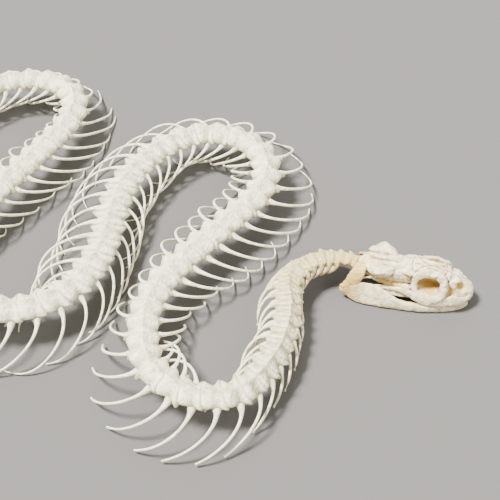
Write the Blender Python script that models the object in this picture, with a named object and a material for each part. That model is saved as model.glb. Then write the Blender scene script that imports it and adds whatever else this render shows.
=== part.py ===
"""Skeleton of a snake at life size, lying on the floor in one long wave.

The spine follows a course on the floor, a chain of smooth turns. Every vertebra of the
trunk carries a pair of ribs that sweep tailwards and rest on the floor by their tips, but
the short ribs of the neck and some in the first tight bend end above it. The trunk is made
in lengths of twelve vertebrae, each split along the middle into the animal's left and right
side. Sizes here are in millimetres and become metres in the meshes.
"""
import math

import bmesh
import bpy
import numpy as np
from mathutils import Vector

MM = 0.001
GAP = 0.3                     # space left between neighbouring bones
HALF_GAP = 0.5 * GAP

# ---------------------------------------------------------------- counts
TRUNK_VERTEBRAE = 180
TAIL_VERTEBRAE = 32
VERTEBRAE_PER_LENGTH = 12
VERTEBRAE_PER_TAIL_LENGTH = 16
FIRST_RIB = 2                 # atlas and axis bear no ribs
LONG_RIBS = range(24, 83)     # ribs with three joints along their length, the rest have two

# ---------------------------------------------------------------- course of the spine
# It starts behind the skull and runs tailwards. A turn is (start, length, degrees), measured
# along the spine, positive to the left of something that moves towards the tail.
COURSE_START = (199.8, -23.3)
COURSE_HEADING = 145.9
TURNS = (
    (-7, 44, 117), (39, 85, -128), (73, 92, -84), (182, 84, 159), (235, 78, 58),
    (302, 126, -187), (378, 36, -20), (467, 83, 142), (478, 39, 19), (540, 90, 57),
    (640, 125, -192), (795, 130, 188), (955, 115, -175), (1080, 90, 85),
)
COURSE_STEP = 0.5
COURSE_END = 1260.0
FIRST_JOINT = 1.5             # where the atlas begins

# ---------------------------------------------------------------- sizes along the spine
# Each is a list of (distance along the spine, value).
VERTEBRA_LENGTH = ((0, 3.0), (60, 5.2), (130, 6.8), (600, 6.9), (900, 6.3), (1100, 4.9), (1215, 1.6))
VERTEBRA_WIDTH = ((0, 7.8), (20, 8.4), (45, 9.2), (75, 10.0), (88, 10.2), (102, 11.0), (140, 11.6),
                  (350, 11.8), (700, 11.6), (950, 9.6), (1110, 6.6), (1215, 1.6))
AXIS_HEIGHT = ((0, 9.0), (40, 10.0), (90, 11.5), (140, 12.0), (700, 12.0), (950, 9.5),
               (1110, 5.0), (1165, 1.2), (1215, 0.4))
# How far the spine is out to the left of its course, and by how many degrees it leans to the right
SWAY = ((0, 0.0), (10, -0.6), (27, -1.7), (42, -0.1), (62, 0.0), (79, 2.8), (86, 2.2), (102, 0.0),
        (117, -0.7), (135, 0.0))
ROLL = ((0, 20.0), (14, 20.0), (42, -16.0), (62, -16.0), (95, 0.0))

# The section of a vertebra, as shares of its width
SPINE_TOP = 0.42
SPINE_TOP_AT_JOINT = 0.30
BELLY = 0.30
WING = 0.50
WAIST = 0.34
WING_HEIGHT = 0.05
RIB_ROOT_OUT = 0.33
RIB_ROOT_DROP = 0.13
TAIL_WING = 0.62              # the side processes of the tail

# How far the ribs reach out from the axis and back towards the tail. LEFT and RIGHT are the
# sides of something that moves towards the tail.
LEFT, RIGHT = 1, -1
ANIMAL_SIDE = {LEFT: "right", RIGHT: "left"}
RIB_OUT = {
    LEFT: ((8, 4.2), (20, 4.6), (45, 5.4), (62, 6.6), (76, 12), (88, 15.5), (100, 16.5),
           (116, 11.5), (135, 11), (165, 16.5), (190, 16), (215, 12), (240, 10), (265, 11),
           (285, 11), (315, 9), (328, 10), (345, 15), (375, 16), (400, 14), (430, 14),
           (455, 15), (475, 11), (500, 9), (540, 11), (570, 12), (610, 9), (655, 9), (700, 18),
           (760, 14), (800, 10), (850, 9), (900, 10), (960, 11), (1010, 13), (1060, 9),
           (1110, 5)),
    RIGHT: ((8, 4.4), (15, 5), (24, 5.8), (32, 8.3), (40, 8.6), (52, 10), (60, 8.4), (68, 6.4),
            (80, 6.2), (86, 7), (90, 15), (97, 14), (108, 12), (125, 12.5), (140, 15), (155, 17.5),
            (180, 16.5), (205, 14), (240, 17), (262, 17), (285, 18), (300, 18.5), (312, 22),
            (322, 21), (335, 12), (355, 8.5), (400, 8), (430, 11), (448, 14.5), (462, 13.4),
            (472, 10.5), (480, 8.5), (490, 8.5), (505, 12), (540, 15), (570, 13), (640, 13),
            (665, 10), (700, 9), (740, 10), (770, 13), (850, 16), (900, 13), (960, 10), (1010, 8),
            (1060, 8), (1110, 5)),
}
RIB_BACK = {
    LEFT: ((8, 3), (30, 4.5), (50, 6), (62, 9), (76, 18), (92, 15), (104, 15), (116, 13.5),
           (165, 15), (190, 13), (235, 13), (285, 16), (308, 13), (328, 14), (345, 17),
           (420, 17), (470, 15), (600, 15), (900, 13), (1110, 7)),
    RIGHT: ((8, 3), (15, 5), (24, 8), (32, 11), (60, 14), (92, 11), (120, 12), (150, 14),
            (180, 17), (196, 17), (230, 16), (290, 18), (306, 17), (345, 12), (400, 12),
            (452, 19), (476, 19), (520, 16), (600, 16), (900, 13), (1110, 7)),
}
RIB_SWEEP = math.radians(112)     # how far round its arc a rib runs, seen from above
RIB_FALL = 1.8                    # a rib stays high at first, then falls to the floor
RIB_UNEVENNESS = 0.06             # no two ribs reach quite equally far
RIB_RADIUS = ((0.0, 0.66), (0.3, 0.62), (1.0, 0.52))
RIB_CORNERS = (30, 150, 270)      # degrees round the middle line: upper rear, upper front, lower
RIB_STATIONS = (0.5, 1.0)         # where a rib has a ring, from 0 at its root to 1 at its tip
LONG_RIB_STATIONS = (0.3, 0.65, 1.0)
RIB_LOOK = 0.05                   # the step that finds a rib's direction
RIB_FOOT_RADIUS = 0.6
# Short ribs of the neck, and some inside the first tight bend, end over the floor.
RIB_FOOT_HEIGHT = {
    LEFT: ((0, 5.1), (20, 4.9), (45, 3.1), (66, 0.0)),
    RIGHT: ((0, 5.1), (20, 4.9), (45, 3.1), (66, 0.0), (86, 0.0), (91, 8.5), (100, 6.5), (112, 0.0)),
}

# ---------------------------------------------------------------- skull
# The skull has its own frame: x forward from the back of the braincase, y to the animal's
# left, z up from the floor.
SKULL_PLACE = (COURSE_START[0] + 1.0, COURSE_START[1] + 0.9)
SKULL_HEADING = math.radians(-15.2)
BONE_COLOUR = (0.83, 0.79, 0.69, 1.0)
SKULL_COLOUR = (0.84, 0.78, 0.65, 1.0)


def smooth(t):
    """Rise from 0 to 1 with level ends."""
    t = min(max(t, 0.0), 1.0)
    return t * t * (3.0 - 2.0 * t)


def keyed(table, s):
    """Read a table of (place, value) at s, easing from each value to the next."""
    for (a, value_a), (b, value_b) in zip(table, table[1:]):
        if s <= b:
            return value_a + (value_b - value_a) * smooth((s - a) / (b - a))
    return table[-1][1]


def unevenness(index, side):
    """A repeatable number from -1 to 1 for one rib."""
    wave = math.sin(12.9898 * (index + 1) + 4.1 * side) * 43758.5453
    return 2.0 * (wave - math.floor(wave)) - 1.0


class Course:
    """The line of the spine on the floor plan."""

    def __init__(self):
        self.s = np.arange(0.0, COURSE_END, COURSE_STEP)
        heading = np.full_like(self.s, math.radians(COURSE_HEADING))
        for start, length, degrees in TURNS:
            t = np.clip((self.s - start) / length, 0.0, 1.0)
            heading += math.radians(degrees) * t * t * (3.0 - 2.0 * t)
        step = np.stack([np.cos(heading), np.sin(heading)], axis=1)
        middle = 0.5 * (step[1:] + step[:-1]) * COURSE_STEP
        start = np.array(COURSE_START)
        self.heading = heading
        self.points = np.vstack([start, start + np.cumsum(middle, axis=0)])

    def place(self, s, out, z, back=0.0, rolled=1.0):
        """The point beside the spine at s, out to the left and back towards the tail.

        It follows the share rolled of the spine's roll about its axis.
        """
        axis = keyed(AXIS_HEIGHT, s)
        roll = math.radians(keyed(ROLL, s)) * rolled
        rise = z - axis
        z = axis + rise * math.cos(roll) + out * math.sin(roll)
        out = out * math.cos(roll) - rise * math.sin(roll) + keyed(SWAY, s)
        x = np.interp(s, self.s, self.points[:, 0])
        y = np.interp(s, self.s, self.points[:, 1])
        cos_h, sin_h = self.direction(s)
        return Vector((x + back * cos_h - out * sin_h, y + back * sin_h + out * cos_h, z))

    def direction(self, s):
        heading = np.interp(s, self.s, self.heading)
        return math.cos(heading), math.sin(heading)


COURSE = Course()


def joints():
    """Where each vertebra begins along the spine, with the end of the last one."""
    places = [FIRST_JOINT]
    for _ in range(TRUNK_VERTEBRAE + TAIL_VERTEBRAE):
        places.append(places[-1] + keyed(VERTEBRA_LENGTH, places[-1]))
    return places


JOINTS = joints()


def bone_material(name, colour):
    """A dry bone finish."""
    material = bpy.data.materials.new(name + "_bone")
    material.use_nodes = True
    shader = material.node_tree.nodes["Principled BSDF"]
    shader.inputs["Base Color"].default_value = colour
    shader.inputs["Roughness"].default_value = 0.55
    shader.inputs["Metallic"].default_value = 0.0
    return material


def add_object(name, bm, colour):
    """Close the mesh, turn its faces outwards and put it in the scene, in metres."""
    bmesh.ops.recalc_face_normals(bm, faces=bm.faces)
    bmesh.ops.triangulate(bm, faces=bm.faces)
    bmesh.ops.scale(bm, vec=(MM, MM, MM), verts=bm.verts)
    mesh = bpy.data.meshes.new(name)
    bm.to_mesh(mesh)
    bm.free()
    mesh.materials.append(bone_material(name, colour))
    obj = bpy.data.objects.new(name, mesh)
    bpy.context.scene.collection.objects.link(obj)
    return obj


# ---------------------------------------------------------------- spine and ribs
def axis_height(s):
    return keyed(AXIS_HEIGHT, s)


def width(s):
    return keyed(VERTEBRA_WIDTH, s)


def ridge_point(s, side, share):
    """A point on the middle plane, at share of the width above the axis."""
    return COURSE.place(s, side * HALF_GAP, axis_height(s) + share * width(s))


def flank_point(s, side, share):
    """A point on the flank, at share of the width out from the axis."""
    return COURSE.place(s, side * share * width(s), axis_height(s) + WING_HEIGHT * width(s))


def rib_frame(s, side, index, u):
    """The place of a rib's middle line at u, from 0 at its root to 1 at its tip.

    Seen from above it is an arc of an ellipse that leaves the spine square and ends
    tailwards. Its height stays level at first and then falls to its foot.
    """
    uneven = 1.0 + RIB_UNEVENNESS * unevenness(index, side)
    root = RIB_ROOT_OUT * width(s)
    reach = keyed(RIB_OUT[side], s) * uneven
    back = keyed(RIB_BACK[side], s) * (2.0 - uneven)
    turn = u * RIB_SWEEP
    out = root + (reach - root) * math.sin(turn)
    along = back * (1.0 - math.cos(turn)) / (1.0 - math.cos(RIB_SWEEP))
    foot = keyed(RIB_FOOT_HEIGHT[side], s)
    top = axis_height(s) - RIB_ROOT_DROP * width(s)
    height = foot + (top - foot) * (1.0 - u ** RIB_FALL)
    return COURSE.place(s, side * out, height, along, (1.0 - min(u, 1.0)) ** 2)


def rib_ring(s, side, index, u):
    """The corners of a rib round its middle line at u."""
    here = rib_frame(s, side, index, u)
    if u >= 1.0:
        before = rib_frame(s, side, index, u - 2.0 * RIB_LOOK)
        ahead = Vector((here.x - before.x, here.y - before.y, 0.0)).normalized()
        lift = ahead
        radius = RIB_FOOT_RADIUS
    else:
        before = rib_frame(s, side, index, u - RIB_LOOK)
        ahead = (rib_frame(s, side, index, u + RIB_LOOK) - before).normalized()
        level = Vector((ahead.x, ahead.y, 0.0)).normalized()
        lift = (Vector((0.0, 0.0, 1.0)) - ahead * ahead.z).normalized()
        ahead = level
        radius = keyed(RIB_RADIUS, u)
    rear = Vector((side * ahead.y, -side * ahead.x, 0.0))
    corners = []
    for degrees in RIB_CORNERS:
        angle = math.radians(degrees)
        corners.append(here + radius * (math.cos(angle) * rear + math.sin(angle) * lift))
    return corners


def grow_rib(bm, root_face, s, side, index):
    """Draw the rib out of one flank face of its vertebra, ring by ring."""
    stations = LONG_RIB_STATIONS if index in LONG_RIBS else RIB_STATIONS
    face = root_face
    for u in stations:
        face = bmesh.ops.extrude_discrete_faces(bm, faces=[face])["faces"][0]
        for vert, target in zip(face.verts, rib_ring(s, side, index, u)):
            vert.co = target


def half_trunk(name, first, side):
    """One side of twelve vertebrae, with that side's ribs."""
    bm = bmesh.new()
    count = VERTEBRAE_PER_LENGTH
    starts = [JOINTS[first + k] for k in range(count + 1)]
    middles = [0.5 * (a + b) for a, b in zip(starts, starts[1:])]
    starts[0] += HALF_GAP
    starts[-1] -= HALF_GAP

    def vert(point):
        return bm.verts.new(point)

    top = [vert(ridge_point(starts[0], side, SPINE_TOP_AT_JOINT))]
    top += [vert(ridge_point(s, side, SPINE_TOP)) for s in middles]
    top.append(vert(ridge_point(starts[-1], side, SPINE_TOP_AT_JOINT)))
    belly = [vert(ridge_point(s, side, -BELLY)) for s in [starts[0], *middles, starts[-1]]]
    waist = [vert(flank_point(s, side, WAIST)) for s in starts]
    wing = [vert(flank_point(s, side, WING)) for s in middles]

    roots = []
    for edge, is_top in ((top, True), (belly, False)):
        for k in range(count + 1):
            bm.faces.new((edge[k], edge[k + 1], waist[k]))
            if k > 0:
                bm.faces.new((edge[k], waist[k], wing[k - 1]))
            if k < count:
                root = bm.faces.new((wing[k], waist[k], edge[k + 1]))
                if not is_top:
                    roots.append(root)
    for k in range(count + 1):
        bm.faces.new((top[k], top[k + 1], belly[k + 1], belly[k]))
    bm.faces.new((top[0], waist[0], belly[0]))
    bm.faces.new((top[-1], waist[-1], belly[-1]))
    for k, root in enumerate(roots):
        if first + k >= FIRST_RIB:
            grow_rib(bm, root, middles[k], side, first + k)
    return add_object(name, bm, BONE_COLOUR)


def tail_length(name, first):
    """Sixteen vertebrae of the tail, whole, with their side processes."""
    bm = bmesh.new()
    rings = []
    last = first + VERTEBRAE_PER_TAIL_LENGTH
    for k in range(first, last + 1):
        joint = JOINTS[k] + (HALF_GAP if k == first else 0.0) - (HALF_GAP if k == last else 0.0)
        rings.append((joint, WAIST, SPINE_TOP_AT_JOINT))
        if k < last:
            rings.append((0.5 * (JOINTS[k] + JOINTS[k + 1]), TAIL_WING, SPINE_TOP))
    verts = []
    for s, flank, ridge in rings:
        height = axis_height(s)
        wide = width(s)
        section = ((0.0, ridge), (-flank, 0.0), (0.0, -BELLY), (flank, 0.0))
        verts.append([bm.verts.new(COURSE.place(s, wide * out, max(height + wide * up, 0.0)))
                      for out, up in section])
    bridge(bm, verts)
    return add_object(name, bm, BONE_COLOUR)


def bridge(bm, rings):
    """Skin a row of rings of equal count and close both ends."""
    count = len(rings[0])
    for ring, following in zip(rings, rings[1:]):
        for k in range(count):
            j = (k + 1) % count
            bm.faces.new((ring[k], ring[j], following[j], following[k]))
    bm.faces.new(rings[0])
    bm.faces.new(rings[-1])


# ---------------------------------------------------------------- skull
def skull_object(name, bm):
    """Add a skull bone and set it down at the head end of the course."""
    obj = add_object(name, bm, SKULL_COLOUR)
    obj.location = (SKULL_PLACE[0] * MM, SKULL_PLACE[1] * MM, 0.0)
    obj.rotation_euler = (0.0, 0.0, SKULL_HEADING)
    return obj


def oval(x, half_width, low, high, corners, squareness=2.4):
    """A rounded section across the skull at x, corners points round."""
    middle, half_height = 0.5 * (low + high), 0.5 * (high - low)
    points = []
    for k in range(corners):
        angle = 2.0 * math.pi * (k + 0.5) / corners
        c, s = math.cos(angle), math.sin(angle)
        y = half_width * math.copysign(abs(c) ** (2.0 / squareness), c)
        z = middle + half_height * math.copysign(abs(s) ** (2.0 / squareness), s)
        points.append((x, y, z))
    return points


# The braincase with a wing on each side, the narrow roof between the eyes with the floor of
# the eye sockets, and the snout: x, half width, low, high, reach of the wing, reach of the floor
CRANIUM = (
    (-1.5, 1.3, 7.6, 10.0, 0.0, 0.0), (-0.2, 3.2, 6.8, 11.2, 0.0, 0.0), (1.2, 4.6, 6.2, 11.9, 5.4, 0.0),
    (3.6, 5.0, 5.8, 12.2, 7.5, 0.0), (5.3, 5.0, 5.5, 12.4, 8.5, 0.0), (7.2, 5.1, 5.4, 12.5, 7.5, 0.0),
    (9.4, 5.1, 5.2, 12.6, 5.6, 0.0), (13.2, 4.8, 5.2, 12.9, 0.0, 0.0), (16.2, 3.6, 5.2, 13.1, 0.0, 0.0),
    (18.6, 1.8, 5.2, 13.3, 0.0, 5.4), (25.0, 1.8, 5.0, 13.0, 0.0, 5.8), (27.6, 2.4, 4.6, 12.4, 0.0, 0.0),
    (28.8, 4.8, 3.8, 11.8, 0.0, 0.0), (31.0, 4.8, 3.5, 10.9, 0.0, 0.0), (33.8, 3.9, 3.3, 9.3, 0.0, 0.0),
    (35.6, 2.6, 3.2, 7.8, 0.0, 0.0), (36.5, 1.3, 3.5, 6.6, 0.0, 0.0),
)
CRANIUM_CORNERS = 12              # counted round from the left over the top
WING_CORNERS = (0, 1)             # the left ones that a wing moves
WING_LOW, WING_HIGH = 11.3, 12.2
WING_BEVEL = 0.3
FLOOR_CORNERS = (10, 9)           # the left ones that a floor moves
FLOOR_HIGH = 6.4
FLOOR_BEVEL = 0.8

# The bony rim of the eye socket, leaning outwards
EYE_CENTRE = (22.3, 5.7, 8.9)
EYE_RIM_RADIUS = 4.75
EYE_RIM_THICKNESS = 1.15
EYE_RIM_LEAN = math.radians(33)
EYE_RIM_STEPS = 14
EYE_RIM_CORNERS = 5

# Bars of bone as (x, y, low, high, half thickness, how far the top leans inwards)
UPPER_JAW = (
    (34.6, 4.4, 2.9, 5.0, 0.6, 0.0), (32.0, 5.7, 2.9, 6.6, 0.8, 0.3), (29.0, 6.3, 2.9, 6.4, 0.9, 0.3),
    (26.5, 7.2, 2.9, 4.3, 0.9, 0.0), (23.5, 8.2, 2.9, 3.7, 0.9, 0.0), (20.0, 8.7, 2.9, 3.8, 0.9, 0.0),
    (16.5, 8.4, 4.2, 6.1, 0.6, 0.0), (13.0, 7.2, 5.4, 7.0, 0.5, 0.0), (9.0, 7.2, 5.0, 6.2, 0.4, 0.0),
)
PALATE_BAR = (
    (27.0, 2.9, 2.9, 3.9, 0.6, 0.0), (20.0, 4.2, 3.0, 4.4, 0.7, 0.4), (14.0, 6.2, 3.2, 5.9, 0.6, 1.2),
    (8.5, 6.6, 3.2, 6.0, 0.6, 1.2), (2.5, 7.0, 3.6, 5.6, 0.6, 0.8), (-3.0, 7.4, 3.6, 4.8, 0.5, 0.0),
)
LOWER_JAW = (
    (-6.6, 8.9, 2.7, 4.0, 0.7, 0.0), (-4.8, 9.2, 1.4, 4.3, 1.1, 0.0), (-1.8, 10.1, 0.4, 6.0, 1.0, 0.2),
    (1.8, 10.9, 0.0, 7.8, 0.9, 2.8), (5.4, 10.9, 0.0, 7.4, 0.9, 2.8), (9.4, 10.6, 0.0, 5.4, 0.9, 1.6),
    (14.0, 9.8, 0.0, 3.6, 1.0, 0.4), (21.0, 8.7, 0.0, 2.6, 1.1, 0.0), (28.0, 6.6, 0.0, 2.6, 1.1, 0.0),
    (33.0, 4.2, 0.0, 2.5, 1.0, 0.0), (35.4, 1.6, 0.6, 2.5, 0.8, 0.0),
)
# The quadrates as (x rear, x front, y, z) of each ring down the blade. The left one stands
# further forward and in, because the joint of the left jaw does.
QUADRATE_RIGHT = (
    (-2.6, -0.2, 3.9, 11.4), (-2.9, 0.6, 5.0, 11.3), (-3.5, 1.2, 6.2, 10.7), (-4.2, 1.0, 7.2, 9.5),
    (-4.8, 0.3, 7.9, 8.0), (-5.6, -0.8, 8.4, 6.6), (-6.5, -3.5, 8.9, 4.8),
)
QUADRATE_LEFT = (
    (-1.7, 0.5, 4.5, 9.6), (-2.3, 0.9, 5.3, 8.6), (-2.8, 0.9, 6.1, 7.6), (-3.2, 0.4, 6.8, 6.4),
    (-3.4, -0.9, 7.3, 5.1),
)
QUADRATE_THICKNESS = 0.5

# The loose jaws of a snake can lie unevenly: the rear end of the left one is shifted
LEFT_JAW_FORWARD = 3.4
LEFT_JAW_INWARD = 1.5
SHIFT_FRONT = 12.0                # nothing is shifted before this x
SHIFT_LENGTH = 18.0


def jaw_point(x, y, z, side):
    """A point of a jaw bone on its side of the skull, with the left jaw's shift."""
    if side < 0:
        return (x, -y, z)
    share = smooth((SHIFT_FRONT - x) / SHIFT_LENGTH)
    return (x + LEFT_JAW_FORWARD * share, y - LEFT_JAW_INWARD * share, z)


def cranium_section(x, half_width, low, high, wing, floor):
    """The oval at x, with its upper corners drawn out to a wing or its lower ones to a floor."""
    points = oval(x, half_width, low, high, CRANIUM_CORNERS)
    moved = ()
    if wing:
        moved = zip(WING_CORNERS, ((wing - WING_BEVEL, WING_LOW), (wing, WING_HIGH)))
    elif floor:
        moved = zip(FLOOR_CORNERS, ((floor, FLOOR_HIGH), (floor - FLOOR_BEVEL, low)))
    for corner, (y, z) in moved:
        across = (CRANIUM_CORNERS // 2 - 1 - corner) % CRANIUM_CORNERS
        points[corner] = (x, y, z)
        points[across] = (x, -y, z)
    return points


def cranium():
    bm = bmesh.new()
    rings = []
    for row in CRANIUM:
        rings.append([bm.verts.new(p) for p in cranium_section(*row)])
    bridge(bm, rings)
    return skull_object("cranium", bm)


def eye_rim(name, side):
    """A ring of bone in a plane that leans outwards from the roof of the skull."""
    bm = bmesh.new()
    centre = Vector((EYE_CENTRE[0], side * EYE_CENTRE[1], EYE_CENTRE[2]))
    forward = Vector((1.0, 0.0, 0.0))
    upward = Vector((0.0, -side * math.sin(EYE_RIM_LEAN), math.cos(EYE_RIM_LEAN)))
    outward = Vector((0.0, side * math.cos(EYE_RIM_LEAN), math.sin(EYE_RIM_LEAN)))
    rings = []
    for k in range(EYE_RIM_STEPS):
        angle = 2.0 * math.pi * k / EYE_RIM_STEPS
        radial = math.cos(angle) * forward + math.sin(angle) * upward
        ring = []
        for j in range(EYE_RIM_CORNERS):
            turn = 2.0 * math.pi * j / EYE_RIM_CORNERS
            offset = math.cos(turn) * radial + math.sin(turn) * outward
            ring.append(bm.verts.new(centre + EYE_RIM_RADIUS * radial + EYE_RIM_THICKNESS * offset))
        rings.append(ring)
    for ring, following in zip(rings, rings[1:] + rings[:1]):
        for j in range(EYE_RIM_CORNERS):
            i = (j + 1) % EYE_RIM_CORNERS
            bm.faces.new((ring[j], ring[i], following[i], following[j]))
    return skull_object(name, bm)


def bone_bar(name, stations, side):
    """A bar with a six-cornered section, flat underneath, carried through its stations."""
    bm = bmesh.new()
    rings = []
    for k, (x, y, low, high, half, lean) in enumerate(stations):
        before = stations[max(k - 1, 0)]
        after = stations[min(k + 1, len(stations) - 1)]
        run = Vector((after[0] - before[0], after[1] - before[1], 0.0)).normalized()
        across = Vector((-run.y, run.x, 0.0))
        ring = []
        for sideways, up in ((0.6, 0.0), (1.0, 0.45), (0.5, 1.0), (-0.5, 1.0), (-1.0, 0.45), (-0.6, 0.0)):
            point = Vector((x, y - lean * up, low + (high - low) * up)) + across * (half * sideways)
            ring.append(bm.verts.new(jaw_point(*point, side)))
        rings.append(ring)
    bridge(bm, rings)
    return skull_object(name, bm)


def quadrate(name, rows, side):
    """The blade beside the braincase that the lower jaw hangs from."""
    bm = bmesh.new()
    rings = []
    for k, (rear, front, y, z) in enumerate(rows):
        before = rows[max(k - 1, 0)]
        after = rows[min(k + 1, len(rows) - 1)]
        run = Vector((0.0, after[2] - before[2], after[3] - before[3])).normalized()
        normal = Vector((0.0, -run.z, run.y))
        middle, half = 0.5 * (rear + front), 0.5 * (front - rear)
        ring = []
        for along, proud in ((-1.0, 0.0), (-0.6, 1.0), (0.6, 1.0), (1.0, 0.0), (0.6, -1.0), (-0.6, -1.0)):
            point = Vector((middle + half * along, y, z)) + normal * (QUADRATE_THICKNESS * proud)
            ring.append(bm.verts.new((point.x, side * point.y, point.z)))
        rings.append(ring)
    bridge(bm, rings)
    return skull_object(name, bm)


def build():
    for obj in list(bpy.data.objects):
        bpy.data.objects.remove(obj, do_unlink=True)
    cranium()
    for side, name, blade in ((1, "left", QUADRATE_LEFT), (-1, "right", QUADRATE_RIGHT)):
        eye_rim("eye_rim_" + name, side)
        bone_bar("upper_jaw_" + name, UPPER_JAW, side)
        bone_bar("palate_" + name, PALATE_BAR, side)
        bone_bar("lower_jaw_" + name, LOWER_JAW, side)
        quadrate("quadrate_" + name, blade, side)
    for number in range(TRUNK_VERTEBRAE // VERTEBRAE_PER_LENGTH):
        for side in (LEFT, RIGHT):
            name = "trunk_%02d_%s" % (number + 1, ANIMAL_SIDE[side])
            half_trunk(name, number * VERTEBRAE_PER_LENGTH, side)
    for number in range(TAIL_VERTEBRAE // VERTEBRAE_PER_TAIL_LENGTH):
        tail_length("tail_%02d" % (number + 1), TRUNK_VERTEBRAE + number * VERTEBRAE_PER_TAIL_LENGTH)


build()
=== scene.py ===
"""Looks of the snake skeleton: every vertebra and rib, and the bones of the skull, as dry bone.

The spine follows the same course over the floor as the CAD part. Vertebrae, ribs and skull
bones are surfaces worked out with numpy, in millimetres, and become metres in the meshes.
"""
import logging
import math
from dataclasses import dataclass, field
from enum import Enum
from typing import Callable, Sequence

import bpy
import numpy as np
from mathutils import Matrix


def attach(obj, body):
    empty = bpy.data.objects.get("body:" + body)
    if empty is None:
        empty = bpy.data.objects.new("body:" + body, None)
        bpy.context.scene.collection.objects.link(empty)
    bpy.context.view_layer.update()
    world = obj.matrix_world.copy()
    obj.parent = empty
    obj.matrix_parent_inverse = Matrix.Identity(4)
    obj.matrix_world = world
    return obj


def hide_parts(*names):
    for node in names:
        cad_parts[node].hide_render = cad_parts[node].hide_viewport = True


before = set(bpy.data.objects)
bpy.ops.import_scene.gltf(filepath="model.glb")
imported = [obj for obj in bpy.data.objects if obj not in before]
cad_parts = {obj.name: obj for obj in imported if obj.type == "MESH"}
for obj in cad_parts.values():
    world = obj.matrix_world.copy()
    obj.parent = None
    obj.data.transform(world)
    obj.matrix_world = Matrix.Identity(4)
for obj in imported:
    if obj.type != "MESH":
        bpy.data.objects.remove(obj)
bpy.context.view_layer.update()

LOG = logging.getLogger("snake_skeleton")
MM = 0.001
Table = Sequence[Sequence[float]]


class Slot(Enum):
    """The record's material slots."""

    SKULL = "skull_bone"
    SPINE = "spine_bone"


class Flank(Enum):
    """A side of something that moves along the spine towards the tail."""

    LEFT = 1
    RIGHT = -1

    @property
    def of_animal(self) -> str:
        """The animal's own name for this side, which faces the other way."""
        return "right" if self is Flank.LEFT else "left"


# ---------------------------------------------------------------- arithmetic on whole arrays
def smooth(t: np.ndarray) -> np.ndarray:
    """Rises from 0 to 1 with level ends: 3t^2 - 2t^3, held outside 0 to 1."""
    t = np.clip(t, 0.0, 1.0)
    return t * t * (3.0 - 2.0 * t)


def keyed(table: Table, s: np.ndarray) -> np.ndarray:
    """Reads a table at s, easing from each value to the next.

    Args:
        table: rows of (place, value), in order of place.
        s: the places to read at.

    Returns:
        One value for each place.
    """
    places, values = np.array(table, float).T
    s = np.asarray(s, float)
    k = np.clip(np.searchsorted(places, s) - 1, 0, len(places) - 2)
    ease = smooth((s - places[k]) / (places[k + 1] - places[k]))
    return values[k] + (values[k + 1] - values[k]) * ease


def splined(rows: Table, count: int) -> np.ndarray:
    """Runs a smooth curve through rows of numbers.

    Each stretch is a Catmull-Rom cubic: it leaves a row along half the step from the row
    before to the row after, so that neighbouring stretches join without a corner.

    Args:
        rows: the rows that the curve passes through.
        count: how many rows the result has.

    Returns:
        An array of count rows.
    """
    rows = np.array(rows, float)
    ends = np.vstack([2 * rows[:1] - rows[1:2], rows, 2 * rows[-1:] - rows[-2:-1]])
    at = np.linspace(0.0, len(rows) - 1.0, count)
    k = np.minimum(at.astype(int), len(rows) - 2)
    t = (at - k)[:, None]
    before, here, there, after = ends[k], ends[k + 1], ends[k + 2], ends[k + 3]
    slope_here = 0.5 * (there - before)
    slope_there = 0.5 * (after - here)
    return ((2 * t**3 - 3 * t**2 + 1) * here + (t**3 - 2 * t**2 + t) * slope_here
            + (3 * t**2 - 2 * t**3) * there + (t**3 - t**2) * slope_there)


def scatter(index: np.ndarray, salt: float) -> np.ndarray:
    """Repeatable numbers from -1 to 1: the far decimals of a sine of the index.

    Args:
        index: the numbers of the bones.
        salt: a number of the caller's own, so that no two uses are alike.

    Returns:
        One number for each bone.
    """
    wave = np.sin(12.9898 * (index + 1) + salt) * 43758.5453
    return 2.0 * (wave - np.floor(wave)) - 1.0


def unit(vectors: np.ndarray) -> np.ndarray:
    """Vectors of length 1 along the last axis."""
    return vectors / np.maximum(np.linalg.norm(vectors, axis=-1, keepdims=True), 1e-9)


def gauss(distance: np.ndarray, reach: float) -> np.ndarray:
    """A soft spot: 1 in its middle, falling off as a bell over reach."""
    return np.exp(-(distance / reach) ** 2)


def unevenness(points: np.ndarray) -> np.ndarray:
    """Height of the shallow swellings of old bone, from about -1.5 to 1.5.

    The product of two crossed sine waves and half of a third, shorter one. They run through a
    space that slow sines bend, so that the waves don't line up.

    Args:
        points: places in millimetres, with x, y and z on the last axis.

    Returns:
        One height for each place.
    """
    bend, bend_slope, bend_phases = 1.1, 0.9, np.array([0.0, 2.0, 4.0])
    slopes = ((1.5, 0.9, 1.1), (-0.8, 1.6, 1.2), (2.2, -1.9, 2.4))
    bent = points + bend * np.sin(bend_slope * points[..., [1, 2, 0]] + bend_phases)
    first, second, third = (np.sin(bent @ np.array(slope)) for slope in slopes)
    return first * second + 0.5 * third


@dataclass(frozen=True)
class Bell:
    """A soft rise and fall along a bone: how high, where and over what reach."""

    size: float
    place: float
    reach: float

    def at(self, v: np.ndarray) -> np.ndarray:
        """Its height at v."""
        return self.size * gauss(v - self.place, self.reach)


@dataclass(frozen=True)
class Ramp:
    """A soft step along a bone: its value before the step, the step, its start and its run."""

    low: float
    rise: float
    start: float
    run: float

    def at(self, v: np.ndarray) -> np.ndarray:
        """Its value at v."""
        return self.low + self.rise * smooth((v - self.start) / self.run)


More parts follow.
